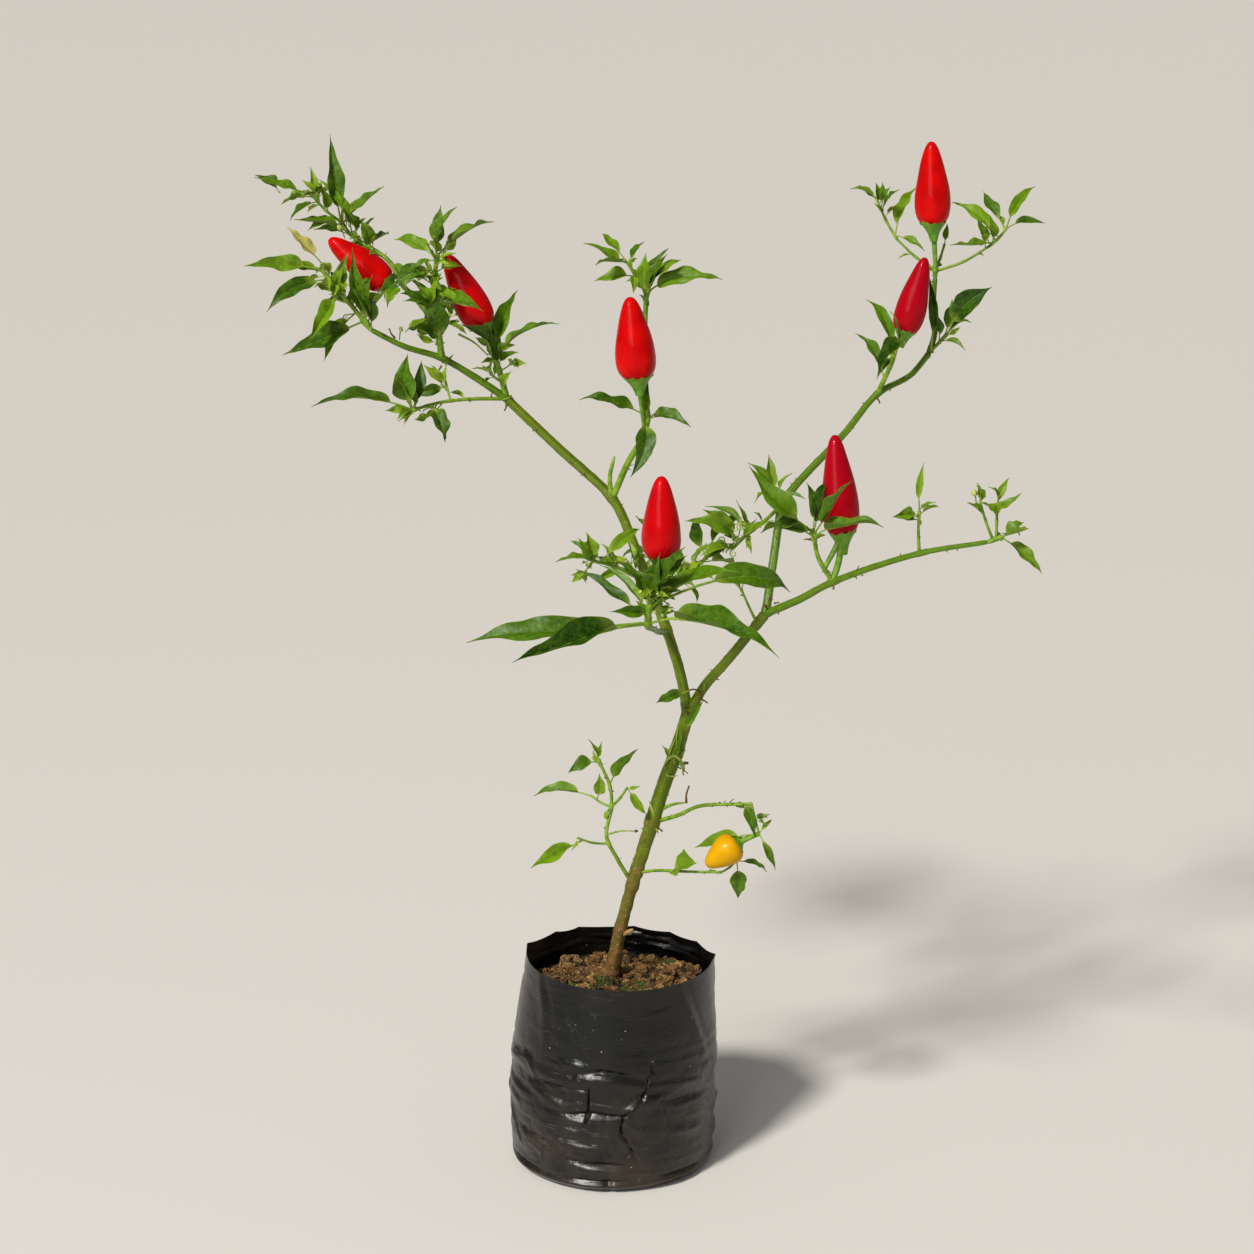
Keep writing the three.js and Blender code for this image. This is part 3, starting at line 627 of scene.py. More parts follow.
# Each limb: its points in millimetres, its radii at even steps from end to end, and how brown it is at
# both ends
limbs = {
    "trunk": ([(-1, 0, 114), (0, 0, 120), (6, -1, 150), (14, -2, 181), (22, -3, 208), (32, -4, 242),
        (39, -5, 262), main_fork], (4.5, 3.9, 3.7, 4.0, 4.5, 4.5, 4.3, 3.8), (1, 0.05)),
    "left_bough": ([(46, -4, 285), (41, 1, 309), (34, 6, 331), (17, 18, 374), (4, 28, 404), (-3, 32, 413),
        (-31, 42, 437), (-63, 52, 466)], (3.2, 2.6), (0.1, 0)),
    "right_bough": ([(46, -4, 285), (56, -6, 303), (69, -8, 319), right_fork], (3.0, 2.8), (0.08, 0.05)),
    "outer_left_bough": ([left_fork, (-82, 47, 480), outer_node, (-123, 36, 500), (-142, 34, 510)],
        (2.3, 1.5), (0, 0)),
    "left_riser": ([outer_node, (-104, 44, 510), (-114, 48, 524), (-125, 50, 535)], (2, 1.5), (0, 0)),
    "right_riser": ([right_fork, (96, 2, 378), elbow], (2.6, 2.4), (0.05, 0)),
    "upper_right_bough": ([elbow, (109, 25, 417), (140, 45, 446), upper_node, (181, 67, 478), upper_tip],
        (2.4, 1.7), (0, 0)),
    "top_right_bough": ([upper_tip, (196, 74, 503), (195, 77, 520), (196, 80, 536)], (1.8, 1.5), (0, 0)),
    "far_right_bough": ([right_fork, (110, -28, 361), fruit_node, bud_node, (210, -92, 409)],
        (2.4, 1.3), (0.05, 0)),
    "front_bough": ([(33, 7, 333), (28, -18, 339), (25, -48, 348), (21, -80, 357)], (2, 1.5), (0, 0)),
}


class Line:
    """A smooth curve through points given in millimetres, met by a share of the way along."""

    def __init__(self, points):
        self.points = np.array(points, float) * MM
        self.table = np.linspace(0, 1, 201)
        places = np.array([self.spot(t) for t in self.table])
        steps = np.linalg.norm(np.diff(places, axis=0), axis=1)
        self.travel = np.concatenate([[0], np.cumsum(steps)])
        self.length = self.travel[-1]

    def spot(self, t):
        """A centripetal Catmull-Rom curve, whose outer points repeat the last step."""
        points = self.points
        last = len(points) - 1
        i = min(int(last * t), last - 1)
        weight = last * t - i
        before = points[i - 1] if i > 0 else 2 * points[0] - points[1]
        after = points[i + 2] if i + 2 <= last else 2 * points[last] - points[last - 1]
        a, b = points[i], points[i + 1]
        gap = max(np.linalg.norm(b - a) ** 0.5, 1e-9)
        gap_before = max(np.linalg.norm(a - before) ** 0.5, 1e-9)
        gap_after = max(np.linalg.norm(after - b) ** 0.5, 1e-9)
        leave = ((a - before) / gap_before - (b - before) / (gap_before + gap) + (b - a) / gap) * gap
        arrive = ((b - a) / gap - (after - a) / (gap + gap_after) + (after - b) / gap_after) * gap
        square, cube = weight**2, weight**3
        return (a + leave * weight + (3 * (b - a) - 2 * leave - arrive) * square
                + (2 * (a - b) + leave + arrive) * cube)

    def at(self, share):
        return self.spot(np.interp(share * self.length, self.travel, self.table))

    def lean(self, share):
        """The way it runs there."""
        ahead = self.at(min(share + 1e-3, 1)) - self.at(max(share - 1e-3, 0))
        return ahead / np.linalg.norm(ahead)

    def row(self, count):
        """A row of places at even steps from end to end."""
        return np.array([self.at(share) for share in np.linspace(0, 1, count)])

    def nearest(self, point):
        """The share at which it comes nearest a point, and how near."""
        away = np.linalg.norm(self.row(61) - point, axis=1)
        return away.argmin() / 60, away.min()


def frames(places):
    """For each place of a row, the way on and two ways across that turn as little as they can."""
    ahead = np.gradient(places, axis=0)
    ahead /= np.linalg.norm(ahead, axis=1)[:, None]
    across = np.cross(ahead[0], (0.3, 0.9, 0.1))
    sides = []
    for way in ahead:
        across = across - across.dot(way) * way
        across /= np.linalg.norm(across)
        sides.append(across)
    sides = np.array(sides)
    return ahead, sides, np.cross(ahead, sides)


lines = {name: Line(points) for name, (points, _, _) in limbs.items()}
joint_marks = [main_fork, left_knee, left_fork, outer_node, right_fork, elbow, upper_node, upper_tip,
               fruit_node, bud_node]
leaf_marks = [(33, 7, 333), (12, -2, 178), (27, -3, 217), (16, -2, 184), (39, -5, 262), (6, -1, 147),
              (26, 12, 352), (23, 13, 358), (86, -13, 343), (44, -4, 236)]


def swelling(line, share, joints):
    """How much thicker the limb is at a share of its way, for the joints near it."""
    swell = 0
    for joint, weight in joints:
        away = (share - joint) * line.length / MM
        collars = math.exp(-((away - 3) / 0.8) ** 2) + math.exp(-((away + 2) / 0.7) ** 2)
        swell += weight * (math.exp(-(away / 3.2) ** 2) + 0.45 * collars)
    return swell


def grow_limb(name):
    """Rolls a grid into a tube along the limb, closes it, and gives it ridges, joints and rough bark."""
    radii, (start_brown, end_brown) = limbs[name][1:]
    line = lines[name]
    rings = max(10, round(line.length / limb_ring))
    places = line.row(rings + 1)
    across, upward = frames(places)[1:]
    joints = []
    for marks, weight in ((joint_marks, 0.17), (leaf_marks, 0.12)):
        for mark in marks:
            share, away = line.nearest(np.array(mark) * MM)
            if away < joint_reach:
                joints.append((share, weight))
    bpy.ops.mesh.primitive_grid_add(x_subdivisions=limb_sides, y_subdivisions=rings, size=2)
    limb = bpy.context.active_object
    flat = coordinates(limb)
    brown = np.zeros(len(flat))
    ridges, ridge_size = (6, 0.022) if name == "trunk" else (5, 0.04)
    for i, (x, y, _) in enumerate(flat):
        share = (y + 1) / 2
        ring = round(share * rings)
        angle = math.pi * (x + 1)
        radius = np.interp(share, np.linspace(0, 1, len(radii)), radii) * MM
        swell = swelling(line, share, joints)
        ridge = ridge_size * math.cos(ridges * angle + share * line.length * 14)
        side = math.cos(angle) * across[ring] + math.sin(angle) * upward[ring]
        spot = places[ring] + side * radius
        grain = noise.noise(Vector(spot) * 260) * 0.06 + noise.noise(Vector(spot) * 900) * 0.03
        age = start_brown + (end_brown - start_brown) * min(1, share * 1.25)
        if name == "trunk":
            flare = flare_radius * math.exp(-share * line.length / flare_height)
            radius += flare * (1 + 0.2 * math.cos(angle * 4))
            grain *= 1 + age
        radius *= blunt_end[max(0, ring - rings + 2)]
        flat[i] = places[ring] + side * radius * (1 + ridge * (1 - age * 0.5) + swell + grain)
        brown[i] = age + swell * 0.9
    reshape(limb, flat)
    age_mark = limb.data.attributes.new("age", "FLOAT", "POINT")
    age_mark.data.foreach_set("value", brown.astype(np.float32))
    bpy.ops.object.mode_set(mode="EDIT")
    bpy.ops.mesh.select_all(action="SELECT")
    bpy.ops.mesh.remove_doubles(threshold=0.01 * MM)
    bpy.ops.mesh.select_mode(type="EDGE")
    bpy.ops.mesh.select_all(action="DESELECT")
    bpy.ops.mesh.select_non_manifold()
    bpy.ops.mesh.fill_holes(sides=0)
    turn_outward()
    return limb


def stem_finish(name, green, pale, brown, tan):
    """Bark: green with pale lines along the ridges, turning brown with tan pores where it is old."""
    made = Finish(name, IOR=1.33)
    where = made.place()
    stripes = made.cloud(made.stretched(made.node("UVMap"), (26, 3.5, 1)), 1, 3, 0.5).between(0.42, 0.66)
    patches = made.cloud(where, 190, 4, 0.6)
    old = (made.marked("age") + (patches - 0.5) * 0.7).between(0.25, 0.95)
    fresh = made.mix(stripes * 0.34, green, pale)
    fresh = made.mix(patches.between(0.35, 0.7) * 0.4, fresh, colour(green, 0.5))
    pores = made.cells(where, 420).between(0.3, 0.16) * made.cloud(where, 300, 2).between(0.45, 0.6)
    corky = made.mix(patches.between(0.3, 0.7), brown, tan)
    shade = made.mix(old, fresh, corky)
    made.feed("Base Color", made.mix(pores * (0.25 + old * 0.6), shade, "b39a68"))
    made.feed("Roughness", 0.34 + old * 0.4)
    made.relief(stripes * 0.25 + patches * 0.5 + pores * 0.5, 0.35 * MM, 0.8)
    return made.material


bark = stem_finish("half_woody_bark", "546a04", "929c20", "4a3014", "7e5a30")
green_bark = stem_finish("green_bark", "4c7208", "93a82e", "5f4a20", "8a7440")
for name in limbs:
    woody = name in ("trunk", "left_bough", "right_bough")
    limb = grow_limb(name)
    limb.data.materials.append(bark if woody else green_bark)
    settle(limb, "grown_" + name, "bark" if woody else "green_stem", name)

# Sprigs
# Green shoots that grow on from the boughs' tips and joints, each a main stem with a few twigs, leaves
# on thin stalks, fruit on stiff stalks, and many small new leaves with flower buds among them. They
# grow by the same seeded rule as the plant's solids, and then on to finer twigs.
stalk_share = 0.2
leaf_width = 0.27
leaf_arch = 42
leaf_facing = 0.85
young_leaf = 13
small_leaf = 21
least_leaf = 12
airy_share = 0.65
scar_gap = 9

# A twig's row says which stem or twig it stands on (0 is the stem), the share of the way along, its
# heading (0 to the right, 90 up), how far it turns toward the viewer, and its length in millimetres.
# A leaf's row says the same, its length with its stalk, and some their breadth, bend and stalk's share.
# A fruit's row gives the same for its stalk, and then the heading, toward, length and width of the fruit.
# Each sprig has so many young leaves, those called airy have fewer and smaller ones, and more leaves
# fill the crown between the first.
sprigs = {
    "left_tip_sprig": dict(radius=1.5, young=5, shade="green",
        stem=[(-142, 34, 510), (-151, 32, 522), (-161, 28, 535), (-169, 26, 546)],
        leaves=[(0, 1, 175, 20, 47), (0, 0.85, 205, 35, 46), (0, 0.65, 240, 45, 42),
            (0, 0.15, 200, 30, 56), (0, 0.5, 85, 15, 30), (0, 0.12, 100, -45, 25), (0, 0.08, 60, 40, 34),
            (0, 0.9, 290, 60, 16)],
        more=[(0, 0, 100, 13, 52, 0.2), (0, 0.1, 80, 24, 34, 0.3), (0, 0, 112, 28, 36, 0.3),
            (0, 0.3, 236, 23, 36, 0.3), (0, 0.75, 273, 67, 14, 0.5), (0, 0.4, 60, -30, 30, 0.34)]),
    "upper_left_sprig": dict(radius=1.5, young=6, shade="green",
        stem=[(-125, 50, 535), (-132, 54, 548), (-156, 60, 564), (-161, 60, 571)],
        twigs=[(0, 1, 135, 15, 23)],
        leaves=[(0, 1, 95, 5, 52, 0.24), (0, 0.97, 40, 20, 38), (0, 0.9, 80, -40, 20),
            (1, 0.9, 100, -20, 20), (1, 1, 160, 25, 38, 0.22, 0.5, 0.3), (1, 0.8, 215, 45, 25),
            (0, 0.6, 20, -60, 24), (0, 0.15, 250, 40, 22)],
        fruits=[(0, 0.12, 221, 52, 11, 142, 0, 43, 20)],
        more=[(0, 0.8, 120, 7, 40, 0.16), (0, 0.55, 105, 26, 20, 0.5), (0, 0.75, 109, 29, 21, 0.42),
            (0, 0.87, 164, 31, 36, 0.3), (0, 0, 239, 58, 25, 0.36), (0, 0.3, 300, 30, 24, 0.4)]),
    "inner_left_sprig": dict(radius=1.4, young=4, shade="green",
        stem=[outer_node, (-102, 36, 514), (-103, 30, 542), (-102, 28, 555)],
        leaves=[(0, 1, 85, -10, 29), (0, 1, 65, 20, 34), (0, 0.98, 30, -25, 42), (0, 0.95, 160, -35, 34),
            (0, 0.95, 200, 20, 18), (0, 0.9, 110, 45, 22), (0, 0.5, 80, 35, 28), (0, 0.45, 125, 20, 28),
            (0, 0.42, 15, 50, 46), (0, 0.35, 195, 30, 23)],
        more=[(0, 0.85, 200, 10, 28, 0.44), (0, 0.15, 92, 25, 42, 0.32), (0, 0.15, 110, 13, 44, 0.3),
            (0, 0.5, 156, 25, 26, 0.42), (0, 0.7, 330, 40, 24, 0.36), (0, 0.2, 150, 50, 28, 0.4)]),
    "back_left_sprig": dict(radius=1.4, young=4, shade="dark",
        stem=[outer_node, (-104, 62, 500), (-108, 82, 512)],
        twigs=[(0, 0.6, 60, -20, 22)],
        leaves=[(0, 1, 150, -45, 34), (0, 1, 90, -30, 28), (0, 0.9, 40, -60, 36), (0, 0.8, 200, -55, 30),
            (1, 1, 110, -20, 22), (1, 0.9, 30, -50, 26), (0, 0.6, 120, 20, 22)]),
    "back_middle_sprig": dict(radius=1.4, young=4, shade="green",
        stem=[(26, 12, 352), (40, 34, 356), (58, 62, 366)],
        twigs=[(0, 0.6, 150, -30, 26)],
        leaves=[(0, 1, 40, -40, 40), (0, 1, 100, -55, 34), (0, 0.9, 340, -50, 38), (0, 0.8, 160, -60, 32),
            (1, 1, 120, -40, 30), (1, 0.9, 190, -30, 26), (0, 0.7, 60, -10, 20)]),
    "left_fruit_sprig": dict(radius=2, young=3, shade="dark",
        stem=[left_fork, (-67, 48, 483), (-71, 44, 495)],
        leaves=[(0, 0.9, 70, -30, 46), (0, 0.8, 30, 10, 46), (0, 0.6, 125, 60, 20)],
        fruits=[(0, 1, 109, 0, 16, 116, 0, 48, 21.5)],
        more=[(0, 0.5, 124, 28, 46, 0.3), (0, 0.7, 100, -45, 34, 0.32)]),
    "low_left_sprig": dict(radius=1.2, young=3, shade="dark",
        stem=[left_fork, (-84, 38, 468), (-101, 26, 468), (-117, 16, 465)],
        twigs=[(0, 0.6, 105, -20, 18)],
        leaves=[(0, 1, 175, 15, 60, 0.22), (0, 1, 80, -15, 30), (0, 0.97, 115, 30, 24),
            (0, 0.98, 210, 50, 16), (0, 0.85, 305, 30, 20), (1, 1, 60, -40, 14)],
        more=[(0, 1, 92, 14, 36, 0.42), (0, 1, 114, 15, 23, 0.25), (0, 0.98, 204, 49, 16, 0.32),
            (0, 0.8, 292, 30, 26, 0.48)]),
    "crown_middle_sprig": dict(radius=2, young=6, shade="green", airy=True,
        stem=[left_knee, (10, 24, 432), (20, 18, 452), (20, 14, 483), (20, 22, 518), (21, 26, 535)],
        twigs=[(0, 1, 125, 10, 20)],
        leaves=[(1, 1, 155, 10, 29), (1, 1, 135, -35, 26), (1, 0.95, 175, 50, 30), (1, 0.9, 55, -40, 20),
            (0, 1, 60, -20, 28), (0, 1, 45, 40, 34), (0, 0.98, 12, 15, 47, 0.25, 2, 0.2),
            (1, 0.6, 265, 60, 20), (0, 0.43, 165, 10, 42, 0.27, 1.5), (0, 0.42, 355, 35, 32, 0.36, 1.5),
            (0, 0.4, 252, 30, 36, 0.36, 0.8, 0.07), (0, 0.45, 110, -40, 24)],
        fruits=[(0, 0.36, 97, 25, 37, 96, 0, 48.5, 24)],
        more=[(0, 0.97, 65, 25, 32, 0.34), (0, 0.97, 48, 26, 34, 0.3), (0, 0.95, 90, 0, 28, 0.4),
            (1, 0.5, 185, 16, 26, 0.4), (0, 0.4, 88, 12, 28, 0.22)]),
    "front_sprig": dict(radius=1.6, young=6, shade="dark",
        stem=[(21, -80, 357), (22, -88, 371), (25, -90, 381)],
        leaves=[(0, 0.15, 185, 5, 103, 0.2, 0.8, 0.32), (0, 0.1, 186, 40, 98, 0.2, 0.55, 0.26),
            (0, 0.1, 358, 45, 100, 0.22, 1.2, 0.24), (0, 0.6, 0, -25, 90, 0.17, 1.6, 0.42),
            (0, 0.5, 29, 28, 66, 0.22, 0.9), (0, 0.9, 62, 30, 42, 0.3), (0, 0.5, 125, -5, 36, 0.32),
            (0, 0.6, 80, 22, 38, 0.28), (0, 0.3, 149, -17, 50, 0.2), (0, 0.3, 138, -32, 44, 0.16)],
        fruits=[(0, 1, 78, -17, 17.5, 90, 0, 47.5, 22.7)],
        more=[(0, 0.5, 112, 20, 30, 0.3), (0, 0.7, 50, -20, 34, 0.28), (0, 0.4, 168, 30, 26, 0.36)]),
    "left_inner_sprig": dict(radius=1.1, young=2,
        stem=[(23, 13, 358), (11, 0, 371), (-1, -8, 377), (-11, -14, 381)],
        leaves=[(0, 1, 175, 30, 25), (0, 0.9, 35, -30, 34), (0, 0.95, 120, 10, 14)],
        more=[(0, 0.8, 150, -20, 26, 0.36), (0, 1, 100, 20, 20, 0.5), (0, 0.6, 200, 30, 18, 0.4)]),
    "curly_sprig": dict(radius=1.2, young=7, airy=True,
        stem=[elbow, (90, 10, 399), (77, 0, 391), (71, -5, 386)],
        leaves=[(0, 0.85, 155, 20, 38, 0.32, 1.9), (0, 0.7, 150, -30, 32, 0.16),
            (0, 0.6, 115, 10, 22, 0.16), (0, 1, 185, 30, 22, 0.36, 1.5), (0, 0.95, 100, 60, 23, 0.24),
            (0, 0.9, 200, -20, 30, 0.16), (0, 0.8, 60, 30, 20, 0.2)],
        more=[(0, 0.85, 139, -8, 29, 0.36), (0, 0.95, 205, 21, 22, 0.34), (0, 0.95, 29, -22, 30, 0.16)]),
    "elbow_sprig": dict(radius=1, young=1, airy=True, stem=[elbow, (99, 14, 415)],
        leaves=[(0, 1, 135, -5, 26), (0, 0.8, 0, 30, 18), (0, 0.8, 180, 50, 24), (0, 1, 60, 10, 16)],
        more=[(0, 0.8, 104, -10, 26, 0.3)]),
    "right_fruit_sprig": dict(radius=1.5, young=4, shade="dark", airy=True,
        stem=[fruit_node, (119, -44, 390), (116, -46, 405)],
        leaves=[(0, 1, 170, 20, 24), (0, 1, 70, -25, 32), (0, 0.95, 60, 20, 42), (0, 0.9, 15, 30, 45),
            (0, 0.85, 120, 60, 22)],
        fruits=[(0, 0.3, 59, -19, 22, 95, -6, 58.5, 21.8)],
        more=[(0, 1, 100, 20, 34, 0.28), (0, 0.9, 172, 20, 34, 0.42)]),
    "bud_sprig": dict(radius=1, young=2, airy=True, stem=[bud_node, (173, -74, 411), (173, -76, 423)],
        leaves=[(0, 0.8, 170, 20, 17), (0, 1, 40, 40, 14), (0, 1, 85, -10, 28, 0.16)],
        more=[(0, 0.9, 30, 20, 13, 0.45), (0, 0.85, 175, 20, 17, 0.5)]),
    "far_right_sprig": dict(radius=1.3, young=2, airy=True,
        stem=[(210, -92, 409), (214, -93, 411), (217, -94, 412)],
        twigs=[(0, 0.35, 110, 5, 24), (0, 0.6, 88, -15, 20)],
        leaves=[(2, 0.9, 65, -20, 18), (2, 0.8, 40, 20, 18), (2, 1, 120, 30, 14), (0, 1, 30, 40, 20, 0.5),
            (0, 1, 318, 10, 30), (1, 1, 100, 0, 10), (0, 1, 350, -50, 20)],
        more=[(1, 0.9, 105, 20, 13, 0.4), (1, 0.6, 140, 20, 15, 0.4), (2, 0.5, 130, 20, 16, 0.4),
            (2, 0.6, 55, 10, 15, 0.4), (0, 1, 30, -20, 16, 0.5)]),
    "upper_right_sprig": dict(radius=1.6, young=2, shade="dark", airy=True,
        stem=[upper_node, (167, 54, 484), (171, 50, 498)],
        leaves=[(0, 0.6, 110, -35, 48, 0.22), (0, 0.8, 225, 50, 26, 0.2), (0, 0.7, 75, -60, 26)],
        fruits=[(0, 1, 62, 0, 9, 76, 0, 46.5, 18.6)],
        more=[(0, 0.3, 122, -20, 34, 0.26), (0, 1, 105, 25, 26, 0.1)]),
    "outer_right_sprig": dict(radius=1.1, young=2, shade="dark", airy=True,
        stem=[upper_tip, (198, 70, 497), (203, 68, 503)],
        leaves=[(0, 1, 50, 15, 40, 0.36), (0, 0.8, 75, -30, 26), (0, 0.6, 345, 40, 19),
            (0, 0.9, 20, -40, 24)],
        more=[(0, 0.05, 94, 11, 51, 0.13), (0, 0.5, 108, 20, 26, 0.24)]),
    "top_right_sprig": dict(radius=1.4, young=5, shade="green", airy=True,
        stem=[(196, 80, 536), (196, 79, 541)],
        twigs=[(0, 0.9, 143, -20, 30), (1, 1, 118, -10, 28), (0, 0.7, 26, 5, 36), (3, 1, 50, 15, 14),
            (0, 0.9, 65, -40, 20)],
        leaves=[(2, 1, 160, 20, 19), (2, 0.75, 85, -30, 18), (2, 0.7, 60, 40, 22), (2, 0.1, 65, -10, 34),
            (2, 0.1, 335, 30, 22), (4, 0.3, 140, -20, 36), (4, 0.2, 180, 35, 36), (4, 1, 120, -40, 31),
            (4, 1, 55, -10, 31), (4, 1, 10, 25, 25), (5, 1, 80, -30, 14)],
        fruits=[(0, 1, 95, 5, 26.5, 93, 0, 50, 21.7)],
        more=[(4, 0.1, 100, 20, 20, 0.3), (3, 1, 120, 10, 20, 0.3), (4, 0.5, 140, 30, 14, 0.4),
            (3, 0.9, 75, 40, 15, 0.4), (2, 0.9, 100, 20, 14, 0.4), (2, 0.95, 140, -20, 14, 0.36),
            (2, 0.6, 130, 30, 12, 0.36), (2, 0.85, 60, 10, 13, 0.4)]),
    "thin_right_twig": dict(radius=0.9, young=1, airy=True,
        stem=[(86, -13, 343), (82, -20, 352), (76, -24, 366)],
        leaves=[(0, 1, 120, 10, 20, 0.16), (0, 1, 60, -20, 16)]),
    "low_left_shoot": dict(radius=1.3, young=3, shade="green", airy=True,
        stem=[(12, -2, 178), (3, -9, 196), (-3, -12, 211), (0, -8, 228), (-1, -4, 240), (-8, 0, 255)],
        twigs=[(0, 0.38, 160, 25, 22), (0, 0.65, 53, 7, 16), (0, 0.65, 160, -33, 16)],
        leaves=[(1, 0.8, 208, 8, 36, 0.36), (3, 0.85, 181, -9, 37, 0.3), (2, 1, 305, 6, 20, 0.34),
            (0, 0.98, 193, 22, 21, 0.4), (0, 1, 114, 8, 15), (0, 0.8, 55, 14, 32, 0.36),
            (3, 0.7, 85, 13, 19, 0.4), (0, 1, 80, 20, 14)]),
    "low_right_shoot": dict(radius=1.3, young=3, shade="green", airy=True,
        stem=[(27, -3, 217), (41, -14, 225), (53, -22, 233), (83, -34, 238)],
        twigs=[(0, 1, 285, 15, 18)],
        leaves=[(1, 1, 202, -23, 44), (1, 0.55, 28, 12, 10, 0.4), (1, 1, 295, 9, 24, 0.24),
            (1, 1, 40, -30, 12)],
        fruits=[(1, 1, 209, -14, 15, 213, 15, 23, 19)]),
    "low_right_twig": dict(radius=1, young=1, shade="dark", airy=True,
        stem=[(16, -2, 184), (27, -12, 189), (47, -20, 191), (66, -24, 192)],
        twigs=[(0, 1, 41, 9, 12)],
        leaves=[(0, 0.45, 28, 30, 20, 1.05, 0.6), (1, 1, 272, 6, 23, 0.42), (1, 1, 338, -6, 20, 0.24)]),
}


def row_of_chance(seed):
    """A seeded row of numbers between 0 and 1, given as a function of two limits."""
    state = [seed]

    def between(low, high):
        state[0] = state[0] * 16807 % 2147483647
        return low + (high - low) * state[0] / 2147483647

    return between


between = row_of_chance(4054)
finer = row_of_chance(1807)


def aim(heading, toward):
    """A direction: heading turns in the front view from +X up to +Z, toward turns it to the viewer."""
    h, t = math.radians(heading), math.radians(toward)
    return np.array([math.cos(h) * math.cos(t), -math.sin(t), math.sin(h) * math.cos(t)])


def turned(vector, axis, degrees):
    return np.array(Matrix.Rotation(math.radians(degrees), 3, Vector(axis)) @ Vector(vector))


def tube(heap, places, radii, sides, ridge=0.0, mark=0.0):
    """A round or ridged rod through places, with these radii."""
    ahead, across, upward = frames(places)
    angle = np.linspace(0, 2 * math.pi, sides, endpoint=False)[:, None]
    thick = np.outer(radii, 1 + ridge * np.cos(angle * max(3, sides // 2)))
    out = np.cos(angle) * across[:, None] + np.sin(angle) * upward[:, None]
    rings = places[:, None] + thick[..., None] * out
    heap.add(rings, np.full((len(places), sides, 4), mark), end=places[-1] + ahead[-1] * radii[-1] * 0.8)


# Across a leaf, from edge to edge: where its points lie
fine_across = np.array([-1, -0.94, -0.72, -0.42, -0.12, 0, 0.12, 0.42, 0.72, 0.94, 1])
plain_across = np.array([-1, -0.86, -0.4, 0, 0.4, 0.86, 1])


